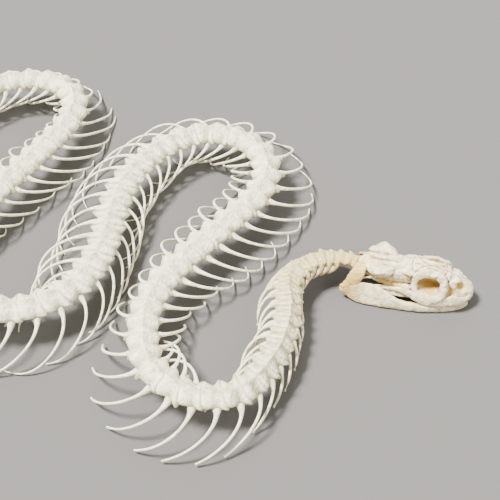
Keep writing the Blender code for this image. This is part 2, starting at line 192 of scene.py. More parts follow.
# ---------------------------------------------------------------- meshes
@dataclass
class Solid:
    """Points in millimetres with the corner numbers of quads and triangles."""

    points: np.ndarray
    quads: np.ndarray
    tris: np.ndarray
    marks: dict[str, np.ndarray] = field(default_factory=dict)

    def triangles(self) -> np.ndarray:
        """Corner numbers of all faces as triangles, each quad cut from its first corner to its third."""
        q, t = self.quads, self.tris
        return np.vstack([q[:, [0, 1, 2]], q[:, [0, 2, 3]], t])

    def outward(self) -> "Solid":
        """Tells by the sign of the volume whether the faces point outwards.

        Returns:
            This solid, or the same one with its faces turned round.
        """
        a, b, c = self.points[self.triangles()].transpose(1, 0, 2)
        volume = np.einsum("ij,ij->i", a, np.cross(b, c)).sum()
        if volume >= 0.0:
            return self
        return Solid(self.points, self.quads[:, ::-1], self.tris[:, ::-1], self.marks)

    def edges(self) -> np.ndarray:
        """Pairs of points that share a face's edge, each way round."""
        pairs = np.vstack([face[:, [i, (i + 1) % face.shape[1]]]
                           for face in (self.quads, self.tris) for i in range(face.shape[1])])
        return np.unique(np.vstack([pairs, pairs[:, ::-1]]), axis=0)

    def neighbour_mean(self, edges: np.ndarray, values: np.ndarray) -> np.ndarray:
        """The mean of values over each point's neighbours.

        Args:
            edges: the pairs of neighbours, each way round.
            values: a row of numbers for each point.

        Returns:
            A row of means for each point.
        """
        count = np.bincount(edges[:, 0], minlength=len(self.points)).astype(float)
        sums = [np.bincount(edges[:, 0], weights=values[edges[:, 1], i], minlength=len(self.points))
                for i in range(values.shape[1])]
        return np.stack(sums, axis=1) / np.maximum(count, 1.0)[:, None]

    def normals(self) -> np.ndarray:
        """Outward directions at the points: face normals weighted by area and summed."""
        fan = self.triangles()
        a, b, c = self.points[fan].transpose(1, 0, 2)
        face = np.cross(b - a, c - a)
        total = np.zeros_like(self.points)
        for i in range(3):
            np.add.at(total, fan[:, i], face)
        return unit(total)


def loft(rings: np.ndarray) -> Solid:
    """Skins rows of rings and closes both ends with a strip of quads.

    Args:
        rings: points as (..., ring, corner, xyz). Each entry of the leading axes is a
            separate closed body. The corner count is even.

    Returns:
        The solid, with its faces outwards.
    """
    count, corners = rings.shape[-3:-1]
    bodies = rings.reshape(-1, count * corners, 3)
    row = np.arange(count - 1)[:, None] * corners
    here = np.arange(corners)[None, :]
    beside = (here + 1) % corners
    wall = np.stack([row + here, row + beside, row + corners + beside, row + corners + here], -1)
    wall = wall.reshape(-1, 4)
    k = np.arange(1, corners // 2 - 1)
    strip = np.stack([k, corners - k, corners - k - 1, k + 1], -1)
    closing = np.array([[0, corners - 1, 1], [corners // 2 - 1, corners // 2 + 1, corners // 2]])
    last = (count - 1) * corners
    quads = np.vstack([wall, strip, strip[:, ::-1] + last])
    tris = np.vstack([closing, closing[:, ::-1] + last])
    shift = (np.arange(len(bodies)) * count * corners)[:, None, None]
    quads, tris = (quads + shift).reshape(-1, 4), (tris + shift).reshape(-1, 3)
    return Solid(bodies.reshape(-1, 3), quads, tris).outward()


def ring_tube(rings: np.ndarray) -> Solid:
    """Skins rings whose last one joins the first.

    Args:
        rings: points as (ring, corner, xyz).

    Returns:
        The solid, with its faces outwards.
    """
    count, corners = rings.shape[:2]
    row = np.arange(count)[:, None] * corners
    following = (np.arange(count)[:, None] + 1) % count * corners
    here = np.arange(corners)[None, :]
    beside = (here + 1) % corners
    quads = np.stack([row + here, row + beside, following + beside, following + here], -1)
    return Solid(rings.reshape(-1, 3), quads.reshape(-1, 4), np.zeros((0, 3), int)).outward()


def joined(solids: Sequence[Solid]) -> Solid:
    """Several solids as one, each still closed by itself."""
    starts = np.cumsum([0] + [len(s.points) for s in solids[:-1]])
    return Solid(np.vstack([s.points for s in solids]),
                 np.vstack([s.quads + n for s, n in zip(solids, starts)]),
                 np.vstack([s.tris + n for s, n in zip(solids, starts)]))


def mesh_of(name: str, solid: Solid, scale: float = MM) -> bpy.types.Mesh:
    """Puts a solid into a smooth-shaded Blender mesh, with its marks as point attributes.

    Args:
        name: the mesh's name.
        solid: the shape.
        scale: metres in one of the solid's units.

    Returns:
        The mesh.
    """
    mesh = bpy.data.meshes.new(name)
    corners = np.concatenate([solid.quads.ravel(), solid.tris.ravel()])
    starts = np.concatenate([np.arange(len(solid.quads)) * 4,
                             len(solid.quads) * 4 + np.arange(len(solid.tris)) * 3])
    mesh.vertices.add(len(solid.points))
    mesh.vertices.foreach_set("co", (solid.points * scale).ravel())
    mesh.loops.add(len(corners))
    mesh.loops.foreach_set("vertex_index", corners)
    mesh.polygons.add(len(starts))
    mesh.polygons.foreach_set("loop_start", starts)
    mesh.update(calc_edges=True)
    mesh.shade_smooth()
    for mark, values in solid.marks.items():
        attribute = mesh.attributes.new(mark, "FLOAT", "POINT")
        attribute.data.foreach_set("value", values.astype(np.float32))
    return mesh


def fused(solids: Sequence[Solid], voxel: float, rounds: int) -> Solid:
    """Grows closed solids together into one skin and softens it.

    The skin is rebuilt on a grid of cubes of the given size. Then every point moves halfway
    to the mean of its neighbours, as often as rounds says.

    Args:
        solids: closed solids that run into each other.
        voxel: size of the cubes in millimetres.
        rounds: how often the skin is softened.

    Returns:
        The one solid.
    """
    raw = mesh_of("fusing", joined(solids), scale=1.0)
    worker = bpy.data.objects.new("fusing", raw)
    bpy.context.scene.collection.objects.link(worker)
    grow = worker.modifiers.new("grow", "REMESH")
    grow.mode = "VOXEL"
    grow.voxel_size = voxel
    grown = worker.evaluated_get(bpy.context.evaluated_depsgraph_get()).to_mesh()
    points = np.zeros(len(grown.vertices) * 3, np.float32)
    grown.vertices.foreach_get("co", points)
    corners = np.zeros(len(grown.loops), np.int32)
    grown.loops.foreach_get("vertex_index", corners)
    sizes = np.zeros(len(grown.polygons), np.int32)
    grown.polygons.foreach_get("loop_total", sizes)
    starts = np.cumsum(sizes) - sizes
    quads = corners[starts[sizes == 4][:, None] + np.arange(4)]
    tris = corners[starts[sizes == 3][:, None] + np.arange(3)]
    bpy.data.objects.remove(worker)
    bpy.data.meshes.remove(raw)
    solid = Solid(points.reshape(-1, 3).astype(float), quads, tris.reshape(-1, 3)).outward()
    edges = solid.edges()
    for _ in range(rounds):
        solid.points = 0.5 * (solid.points + solid.neighbour_mean(edges, solid.points))
    return solid


# ---------------------------------------------------------------- finishes
def group_socket(tree: bpy.types.NodeTree, name: str, way: str, kind: str, value: object = None) -> None:
    """Adds a named socket to a node group, with its default where one is given."""
    socket = tree.interface.new_socket(name=name, in_out=way, socket_type="NodeSocket" + kind)
    if value is not None:
        socket.default_value = value


def linked(tree: bpy.types.NodeTree, kind: str, inputs: dict[object, object],
           **settings: object) -> bpy.types.Node:
    """Adds a node, sets its properties and fills its inputs.

    Args:
        tree: the tree that the node goes into.
        kind: Blender's type of the node, without ShaderNode in front.
        inputs: input name or number to a value or to another node's output.
        **settings: properties of the node.

    Returns:
        The node.
    """
    node = tree.nodes.new("ShaderNode" + kind)
    for key, value in settings.items():
        setattr(node, key, value)
    for key, value in inputs.items():
        if isinstance(value, bpy.types.NodeSocket):
            tree.links.new(value, node.inputs[key])
        else:
            node.inputs[key].default_value = value
    return node


def worked_out(tree: bpy.types.NodeTree, operation: str, a: object, b: object,
               use_clamp: bool = False) -> bpy.types.NodeSocket:
    """Two values or outputs put together by one operation."""
    return linked(tree, "Math", {0: a, 1: b}, operation=operation, use_clamp=use_clamp).outputs[0]


def mapped(tree: bpy.types.NodeTree, value: bpy.types.NodeSocket, span: tuple[float, float],
           onto: tuple[float, float] = (0.0, 1.0)) -> bpy.types.NodeSocket:
    """Stretches a value from one span onto another and holds it there.

    Args:
        tree: the tree that the node goes into.
        value: the output that is stretched.
        span: what it runs over.
        onto: what it runs over afterwards.

    Returns:
        The node's output.
    """
    node = linked(tree, "MapRange", {"Value": value, "From Min": span[0], "From Max": span[1],
                                     "To Min": onto[0], "To Max": onto[1]})
    return node.outputs["Result"]


def mix_colour(tree: bpy.types.NodeTree, factor: bpy.types.NodeSocket, a: bpy.types.NodeSocket,
               b: bpy.types.NodeSocket) -> bpy.types.NodeSocket:
    """Mixes two colours.

    Args:
        tree: the tree that the node goes into.
        factor: the share of the second colour.
        a: the first colour.
        b: the second colour.

    Returns:
        The mixed colour.
    """
    node = linked(tree, "Mix", {}, data_type="RGBA")
    sockets = {"Factor_Float": factor, "A_Color": a, "B_Color": b}
    for socket in node.inputs:
        if socket.identifier in sockets:
            tree.links.new(sockets[socket.identifier], socket)
    return next(s for s in node.outputs if s.identifier == "Result_Color")


def bone_tint_group() -> bpy.types.NodeTree:
    """Colour and roughness of old bone.

    Wide clouds mix ivory with cream, fine specks of cream lie over them, a mask of painted shade
    lays the Shade colour over hollows, joints and undersides, and the Amber mask, broken up by
    the clouds, brings in the colour of dried tissue.

    Returns:
        The node group.
    """
    tree = bpy.data.node_groups.new("bone_tint", "ShaderNodeTree")
    for name, kind, value in (
            ("Place", "Vector", None),
            ("Ivory", "Color", (0.9, 0.88, 0.8, 1.0)),
            ("Cream", "Color", (0.8, 0.7, 0.5, 1.0)),
            ("Shade", "Color", (0.5, 0.45, 0.35, 1.0)),
            ("Amber Colour", "Color", (0.6, 0.3, 0.08, 1.0)),
            ("Cloud Scale", "Float", 200.0),
            ("Cloud Share", "Float", 0.5),
            ("Painted Shade", "Float", 0.0),
            ("Amber", "Float", 0.0)):
        group_socket(tree, name, "INPUT", kind, value)
    group_socket(tree, "Color", "OUTPUT", "Color")
    group_socket(tree, "Roughness", "OUTPUT", "Float")
    given = tree.nodes.new("NodeGroupInput").outputs
    clouds = linked(tree, "TexNoise", {"Vector": given["Place"], "Scale": given["Cloud Scale"], "Detail": 3.0,
                                       "Roughness": 0.55}).outputs["Fac"]
    share = worked_out(tree, "MULTIPLY", mapped(tree, clouds, (0.38, 0.66)), given["Cloud Share"])
    warm = mix_colour(tree, share, given["Ivory"], given["Cream"])
    speck_scale = worked_out(tree, "MULTIPLY", given["Cloud Scale"], 9.0)
    specks = linked(tree, "TexNoise", {"Vector": given["Place"], "Scale": speck_scale,
                                       "Detail": 2.0}).outputs["Fac"]
    speckled = mix_colour(tree, mapped(tree, specks, (0.55, 0.8), (0.0, 0.35)), warm, given["Cream"])
    # Painted shade: the Shade colour laid over hollows, joints and undersides.
    shaded = mix_colour(tree, given["Painted Shade"], speckled, given["Shade"])
    stain = worked_out(tree, "MULTIPLY", given["Amber"], worked_out(tree, "ADD", clouds, 0.9), use_clamp=True)
    out = tree.nodes.new("NodeGroupOutput")
    tree.links.new(mix_colour(tree, stain, shaded, given["Amber Colour"]), out.inputs["Color"])
    tree.links.new(mapped(tree, clouds, (0.3, 0.7), (0.42, 0.6)), out.inputs["Roughness"])
    return tree


def bone_grain_group() -> bpy.types.NodeTree:
    """Height of bone's surface: shallow waves, fine grain and scattered pores.

    Returns:
        The node group.
    """
    tree = bpy.data.node_groups.new("bone_grain", "ShaderNodeTree")
    for name, kind, value in (("Place", "Vector", None), ("Scale", "Float", 900.0), ("Pores", "Float", 0.5)):
        group_socket(tree, name, "INPUT", kind, value)
    group_socket(tree, "Height", "OUTPUT", "Float")
    given = tree.nodes.new("NodeGroupInput").outputs
    waves = linked(tree, "TexNoise", {"Vector": given["Place"], "Scale": given["Scale"], "Detail": 4.0})
    cells = linked(tree, "TexVoronoi", {"Vector": given["Place"], "Scale": given["Scale"]})
    pore = mapped(tree, cells.outputs["Distance"], (0.08, 0.24), (-1.0, 0.0))
    deep = worked_out(tree, "MULTIPLY", pore, given["Pores"])
    out = tree.nodes.new("NodeGroupOutput")
    tree.links.new(worked_out(tree, "ADD", waves.outputs["Fac"], deep), out.inputs["Height"])
    return tree


@dataclass(frozen=True)
class BoneFinish:
    """A dry bone: its colours, how they are spread and how rough it feels. Sizes in metres."""

    name: str
    ivory: tuple[float, float, float, float]
    cream: tuple[float, float, float, float]
    # The colour of the painted shade in hollows, joints and undersides.
    shade: tuple[float, float, float, float]
    amber: tuple[float, float, float, float]
    cloud_scale: float
    cloud_share: float
    grain_scale: float
    pores: float
    relief: float
    relief_strength: float = 0.9
    gloss: float = 0.42
    glow: float = 0.2
    glow_depth: float = 0.0012
    glow_spread: tuple[float, float, float] = (1.0, 0.72, 0.5)

    def material(self, tint: bpy.types.NodeTree, grain: bpy.types.NodeTree) -> bpy.types.Material:
        """Builds the material.

        Args:
            tint: the node group with bone's colour.
            grain: the node group with bone's height.

        Returns:
            The material, which reads a piece's mark of painted shade and its amber mark.
        """
        material = bpy.data.materials.new(self.name)
        material.use_nodes = True
        tree = material.node_tree
        shader = tree.nodes["Principled BSDF"]
        place = tree.nodes.new("ShaderNodeTexCoord").outputs["Object"]
        # The mark of painted shade in hollows, joints and undersides.
        painted_shade = linked(tree, "Attribute", {}, attribute_name="painted_shade").outputs["Fac"]
        stain = linked(tree, "Attribute", {}, attribute_name="amber").outputs["Fac"]
        colour = linked(tree, "Group", {}, node_tree=tint)
        relief = linked(tree, "Group", {}, node_tree=grain)
        for node, inputs in ((colour, {"Ivory": self.ivory, "Cream": self.cream, "Shade": self.shade,
                                       "Amber Colour": self.amber, "Cloud Scale": self.cloud_scale,
                                       "Cloud Share": self.cloud_share}),
                             (relief, {"Scale": self.grain_scale, "Pores": self.pores})):
            tree.links.new(place, node.inputs["Place"])
            for key, value in inputs.items():
                node.inputs[key].default_value = value
        tree.links.new(painted_shade, colour.inputs["Painted Shade"])
        tree.links.new(stain, colour.inputs["Amber"])
        bump = linked(tree, "Bump", {"Height": relief.outputs["Height"], "Strength": self.relief_strength,
                                     "Distance": self.relief})
        tree.links.new(colour.outputs["Color"], shader.inputs["Base Color"])
        tree.links.new(colour.outputs["Roughness"], shader.inputs["Roughness"])
        tree.links.new(bump.outputs["Normal"], shader.inputs["Normal"])
        shader.inputs["Specular IOR Level"].default_value = self.gloss
        shader.inputs["Subsurface Weight"].default_value = self.glow
        shader.inputs["Subsurface Scale"].default_value = self.glow_depth
        shader.inputs["Subsurface Radius"].default_value = self.glow_spread
        return material


# The shade colours below are painted shade for hollows, joints and undersides.
SKULL_FINISH = BoneFinish(
    name="skull_dry_bone", ivory=(0.95, 0.88, 0.64, 1.0), cream=(0.42, 0.31, 0.15, 1.0),
    shade=(0.24, 0.15, 0.06, 1.0), amber=(0.62, 0.41, 0.12, 1.0), cloud_scale=480.0, cloud_share=0.75,
    grain_scale=1300.0, pores=0.35, relief=0.0004)
SPINE_FINISH = BoneFinish(
    name="spine_dry_bone", ivory=(0.97, 0.935, 0.70, 1.0), cream=(0.47, 0.40, 0.22, 1.0),
    shade=(0.24, 0.18, 0.09, 1.0), amber=(0.58, 0.44, 0.17, 1.0), cloud_scale=420.0, cloud_share=0.5,
    grain_scale=850.0, pores=0.4, relief=0.0007)


@dataclass
class Workshop:
    """Holds the materials and sets finished pieces down on the part."""

    materials: dict[Slot, bpy.types.Material] = field(default_factory=dict)

    def prepare(self) -> None:
        """Builds the shared node groups and a material for each slot."""
        tint = bone_tint_group()
        grain = bone_grain_group()
        self.materials[Slot.SKULL] = SKULL_FINISH.material(tint, grain)
        self.materials[Slot.SPINE] = SPINE_FINISH.material(tint, grain)

    def set_down(self, name: str, solid: Solid, slot: Slot, nodes: Sequence[str], levels: int = 1) -> None:
        """Makes a piece of a solid, dresses it and lets it ride on the part.

        Args:
            name: the piece's name.
            solid: its shape, in the part's frame, in millimetres.
            slot: the record's material slot.
            nodes: the CAD nodes that it stands for.
            levels: how often its faces are divided and rounded.
        """
        piece = bpy.data.objects.new(name, mesh_of(name, solid))
        bpy.context.scene.collection.objects.link(piece)
        piece.data.materials.append(self.materials[slot])
        if levels:
            rounder = piece.modifiers.new("round", "SUBSURF")
            rounder.levels = levels
            rounder.render_levels = levels
        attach(piece, "root")
        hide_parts(*nodes)
        LOG.info("%s: %d points, stands for %s", name, len(solid.points), ", ".join(nodes) or "no node")


# ---------------------------------------------------------------- the line of the spine
@dataclass
class Course:
    """The line of the spine on the floor plan, a chain of smooth turns.

    A turn is (start, length, degrees), measured along the spine, positive to the left of
    something that moves towards the tail.
    """

    start: tuple[float, float] = (199.8, -23.3)
    heading: float = 145.9
    turns: Table = (
        (-7, 44, 117), (39, 85, -128), (73, 92, -84), (182, 84, 159), (235, 78, 58),
        (302, 126, -187), (378, 36, -20), (467, 83, 142), (478, 39, 19), (540, 90, 57),
        (640, 125, -192), (795, 130, 188), (955, 115, -175), (1080, 90, 85),
    )
    step: float = 0.5
    end: float = 1260.0
    first_joint: float = 1.5
    trunk_vertebrae: int = 180
    tail_vertebrae: int = 32
    vertebra_length: Table = (
        (0, 3.0), (60, 5.2), (130, 6.8), (600, 6.9), (900, 6.3), (1100, 4.9), (1215, 1.6))
    vertebra_width: Table = (
        (0, 7.8), (20, 8.4), (45, 9.2), (75, 10.0), (88, 10.2), (102, 11.0), (140, 11.6), (350, 11.8),
        (700, 11.6), (950, 9.6), (1110, 6.6), (1215, 1.6))
    axis_height: Table = (
        (0, 9.0), (40, 10.0), (90, 11.5), (140, 12.0), (700, 12.0), (950, 9.5), (1110, 5.0), (1165, 1.2),
        (1215, 0.4))
    sway: Table = (
        (0, 0.0), (10, -0.6), (27, -1.7), (42, -0.1), (62, 0.0), (79, 2.8), (86, 2.2), (102, 0.0),
        (117, -0.7), (135, 0.0))
    roll: Table = ((0, 20.0), (14, 20.0), (42, -16.0), (62, -16.0), (95, 0.0))
    # How much dried tissue stains the bones of the neck.
    stain: Table = ((0, 0.75), (22, 0.45), (40, 0.22), (75, 0.08), (130, 0.0))

    def __post_init__(self) -> None:
        """Follows the course in short steps and marks the joints along it."""
        self.places = np.arange(0.0, self.end, self.step)
        self.headings = np.full_like(self.places, math.radians(self.heading))
        for start, length, degrees in self.turns:
            self.headings += math.radians(degrees) * smooth((self.places - start) / length)
        ahead = np.stack([np.cos(self.headings), np.sin(self.headings)], axis=1)
        steps = 0.5 * (ahead[1:] + ahead[:-1]) * self.step
        self.line = np.vstack([[self.start], np.array(self.start) + np.cumsum(steps, axis=0)])
        joints = [self.first_joint]
        for _ in range(self.trunk_vertebrae + self.tail_vertebrae):
            joints.append(joints[-1] + float(keyed(self.vertebra_length, joints[-1])))
        self.joints = np.array(joints)

    def place(self, s: np.ndarray, out: np.ndarray, z: np.ndarray, back: np.ndarray | float = 0.0,
              rolled: np.ndarray | float = 1.0) -> np.ndarray:
        """Points beside the spine.

        Behind the skull the neck sways to its right. It is rolled about its axis, by degrees
        that are positive where its spines lean to the right.

        Args:
            s: distances along the spine.
            out: how far out to the left, square to the spine.
            z: heights over the floor.
            back: how far straight on towards the tail.
            rolled: share of the roll that the points follow.

        Returns:
            The points, with x, y and z on the last axis.
        """
        s, out, z, back, rolled = np.broadcast_arrays(s, out, z, back, rolled)
        axis = keyed(self.axis_height, s)
        roll = np.radians(keyed(self.roll, s)) * rolled
        out, z = (out * np.cos(roll) - (z - axis) * np.sin(roll) + keyed(self.sway, s),
                  axis + (z - axis) * np.cos(roll) + out * np.sin(roll))
        x, y = (np.interp(s, self.places, self.line[:, i]) for i in range(2))
        heading = np.interp(s, self.places, self.headings)
        cos_h, sin_h = np.cos(heading), np.sin(heading)
        return np.stack([x + back * cos_h - out * sin_h, y + back * sin_h + out * cos_h, z], axis=-1)


# ---------------------------------------------------------------- vertebrae
def ringed(near: np.ndarray, far: np.ndarray) -> np.ndarray:
    """Closes the halves of a section: down along the near one and up again along the far one."""
    return np.concatenate([near, far[:, :, -2:0:-1]], axis=2)


@dataclass
class Vertebrae:
    """The bones of the column, each a closed body that tucks under the one before it.

    Half a section runs from the top of the spine down to the keel. Its points carry weights
    that say how much the wings, the roof, the spine and the rib's facet move each of them.
    Widths and heights are shares of a vertebra's width. Bells and ramps run over v, from 0 at
    a vertebra's front to 1 at its rear.
    """

    course: Course
    section_out: Sequence[float] = (0.0, 0.045, 0.19, 0.40, 0.48, 0.37, 0.20, 0.0)
    section_up: Sequence[float] = (0.29, 0.255, 0.20, 0.11, 0.01, -0.10, -0.22, -0.29)
    wing_weight: Sequence[float] = (0.0, 0.0, 0.3, 1.0, 1.0, 0.5, 0.0, 0.0)
    roof_weight: Sequence[float] = (0.3, 0.6, 1.0, 1.0, 0.7, 0.1, 0.0, 0.0)
    spine_weight: Sequence[float] = (1.0, 0.55, 0.0, 0.0, 0.0, 0.0, 0.0, 0.0)
    facet_weight: Sequence[float] = (0.0, 0.0, 0.0, 0.0, 0.4, 1.0, 0.3, 0.0)
    stations: Sequence[float] = (0.0, 0.12, 0.28, 0.50, 0.72, 0.88, 1.0)
    end_width: float = 0.86
    end_height: float = 0.92
    front_wing: Bell = Bell(0.38, 0.12, 0.11)
    rear_wing: Bell = Bell(0.14, 0.88, 0.12)
    waist: Bell = Bell(0.28, 0.5, 0.2)
    wing_scatter: float = 0.5
    rib_facet: Bell = Bell(0.06, 0.4, 0.2)
    tail_process: Bell = Bell(0.16, 0.4, 0.3)
    tail_wing: float = 0.4
    climb: float = 0.16
    climb_middle: float = 0.42
    neck_climb_loss: float = 0.3
    spine_rise: float = 0.13
    spine_scatter: float = 0.05
    blade: Ramp = Ramp(-0.25, 1.0, 0.22, 0.3)
    thorn: Ramp = Ramp(0.45, 0.95, 0.5, 0.35)
    thorn_scatter: float = 0.3
    wing_bump: Bell = Bell(0.07, 0.13, 0.12)
    roof_dip: Bell = Bell(0.06, 0.5, 0.17)
    bump_share: float = 0.75
    neck_bump_share: float = 0.65
    lean_scatter: float = 0.02
    # How far each part of the rear edge lies over the next vertebra, in lengths of a vertebra.
    overlap: float = 0.12
    trail: Ramp = Ramp(0.0, 1.0, 0.5, 0.5)
    roof_trail: float = 0.8
    wing_trail: float = 0.7
    spine_trail: float = 0.4
    neck_spine_trail: float = 0.8
    lead: Ramp = Ramp(0.06, -0.06, 0.0, 0.3)
    # How dark the painted shade is at the joints, the waist, the neck's saddle and below, and how much less
    # of it the swellings' high places get.
    joint_shade: Bell = Bell(1.5, 0.04, 0.11)
    waist_shade: Bell = Bell(0.8, 0.5, 0.16)
    saddle_shade: Bell = Bell(0.9, 0.55, 0.2)
    saddle_wing_loss: float = 0.6
    neck_waist_shade: Bell = Bell(0.5, 0.5, 0.16)
    underside_shade: float = 0.3
    shade_share: float = 0.8
    swelling: float = 0.16
    swelling_shade: float = 0.15
    # Where the neck is, and how high the thorns on it are.
    neck: Table = ((0, 1.0), (50, 0.9), (90, 0.0))
    thorns: Table = ((0, 1.0), (30, 0.85), (48, 0.4), (90, 0.35))

    def __post_init__(self) -> None:
        """Lays the section and its weights out along the last axis."""
        tables = (self.section_out, self.section_up, self.wing_weight, self.roof_weight,
                  self.spine_weight, self.facet_weight)
        self.out, self.up, self.wing, self.roof, self.spine, self.facet = (
            np.array(table)[None, None, :] for table in tables)

    def widths(self, number: np.ndarray, v: np.ndarray, tail: bool) -> np.ndarray:
        """How far out the points of the half section lie.

        The wings are widest near the front and again, less, near the rear, with a waist
        between. Low on the side stands the rib's facet, and on the tail a longer process.
        Both end rings are drawn in.

        Args:
            number: the vertebrae's numbers.
            v: the rings' places along a vertebra.
            tail: True for the bones of the tail.

        Returns:
            One share of the width for each vertebra, ring and point.
        """
        spread = self.front_wing.at(v) + self.rear_wing.at(v) - self.waist.at(v)
        uneven = 1.0 + self.wing_scatter * scatter(number, 5.0)
        ends = np.where((v == 0.0) | (v == 1.0), self.end_width, 1.0)
        across = self.out * ends * (1.0 + self.wing * spread * uneven) + self.facet * self.rib_facet.at(v)
        if tail:
            across = across + (self.facet + self.tail_wing * self.wing) * self.tail_process.at(v)
        return across

    def heights(self, number: np.ndarray, start: np.ndarray, v: np.ndarray) -> np.ndarray:
        """How far above the axis the points of the half section lie.

        The roof climbs from front to rear, so that its rear edge lies on the next one's
        front. The spine rises as a blade near the front and stays up, or on the neck as a
        thorn with its point at the rear. The wings have a bump in front and the roof dips in
        the middle, more so on the neck. Both end rings are a little lower.

        Args:
            number: the vertebrae's numbers.
            start: where they begin along the spine.
            v: the rings' places along a vertebra.

        Returns:
            One share of the width for each vertebra, ring and point.
        """
        neck = keyed(self.neck, start)
        climb = self.climb * self.roof * (v - self.climb_middle) * (1.0 - self.neck_climb_loss * neck)
        blade = self.blade.at(v)
        unequal = 1.0 + self.thorn_scatter * scatter(number, 8.0)
        thorn = keyed(self.thorns, start) * unequal * self.thorn.at(v)
        crest = self.spine_rise * self.spine * (blade + neck * (thorn - blade))
        bumps = self.wing * self.wing_bump.at(v) - self.roof * (1.0 - self.spine) * self.roof_dip.at(v)
        ends = np.where((v == 0.0) | (v == 1.0), self.end_height, 1.0)
        return self.up * ends + climb + crest + bumps * (self.bump_share + self.neck_bump_share * neck)

    def along(self, v: np.ndarray, neck: np.ndarray) -> np.ndarray:
        """How far along a vertebra the points lie.

        Towards the rear the roof, the wings and the spine trail over the next vertebra, and
        at the front the wings reach over the one before.

        Args:
            v: the rings' places along a vertebra.
            neck: 1 on the neck, 0 behind it and between them in between.

        Returns:
            One share of the length for each vertebra, ring and point.
        """
        spine_trail = self.spine_trail + self.neck_spine_trail * neck
        parts = self.roof * self.roof_trail + self.wing * self.wing_trail + self.spine * spine_trail
        return v + self.overlap * parts * self.trail.at(v) - self.wing * self.lead.at(v)

    def hollows(self, v: np.ndarray, neck: np.ndarray) -> np.ndarray:
        """How much painted shade the points of the half section get: at the joints, the waist and below.

        On the neck the saddle of the roof between two thorns gets painted shade too.

        Args:
            v: the rings' places along a vertebra.
            neck: 1 on the neck, 0 behind it and between them in between.

        Returns:
            A value from 0 to 1 for each vertebra, ring and point.
        """
        joint = self.joint_shade.at(v) * (self.roof + self.wing) + self.waist_shade.at(v) * self.wing
        saddle = neck * (self.saddle_shade.at(v) * self.roof * (1.0 - self.saddle_wing_loss * self.wing)
                         + self.neck_waist_shade.at(v) * self.wing)
        return np.clip(joint + saddle + self.underside_shade * (1.0 - self.roof), 0.0, 1.0)

    def shape(self, first: int, last: int, tail: bool = False) -> Solid:
        """Builds the vertebrae from first up to last.

        The section is carried along the spine. The points then move in or out along their
        normals by the unevenness of the bone, and none goes below the floor.

        Args:
            first: number of the first vertebra.
            last: number after the last one.
            tail: True for the bones of the tail, which have longer side processes.

        Returns:
            All of them as one solid with a mark of painted shade and the amber mark.
        """
        number = np.arange(first, last)[:, None, None]
        start = self.course.joints[number]
        length = self.course.joints[number + 1] - start
        neck = keyed(self.neck, start)
        v = np.array(self.stations)[None, :, None]
        s = start + length * self.along(v, neck)
        width = keyed(self.course.vertebra_width, start + 0.5 * length)
        out = width * self.widths(number, v, tail)
        high = width * self.heights(number, start, v)
        lean = self.lean_scatter * scatter(number, 7.0)
        uneven = 1.0 + self.spine_scatter * scatter(number, 2.0) * self.spine
        z = keyed(self.course.axis_height, s) + high * uneven
        rings = ringed(*(self.course.place(s, side * out + lean * high, z) for side in (1.0, -1.0)))
        rings[..., 2] = np.maximum(rings[..., 2], 0.0)
        solid = loft(rings)
        swell = unevenness(solid.points)
        solid.points = solid.points + self.swelling * solid.normals() * swell[:, None]
        solid.points[:, 2] = np.maximum(solid.points[:, 2], 0.0)
        # Painted shade at the joints, the waist and below, with less of it on the swellings' high places.
        shade = np.broadcast_to(self.hollows(v, neck), z.shape)
        shade = self.shade_share * ringed(shade, shade).reshape(-1) - self.swelling_shade * swell
        stain = np.broadcast_to(keyed(self.course.stain, start), z.shape)
        solid.marks["painted_shade"] = np.clip(shade, 0.0, 1.0)
        solid.marks["amber"] = ringed(stain, stain).reshape(-1)
        return solid


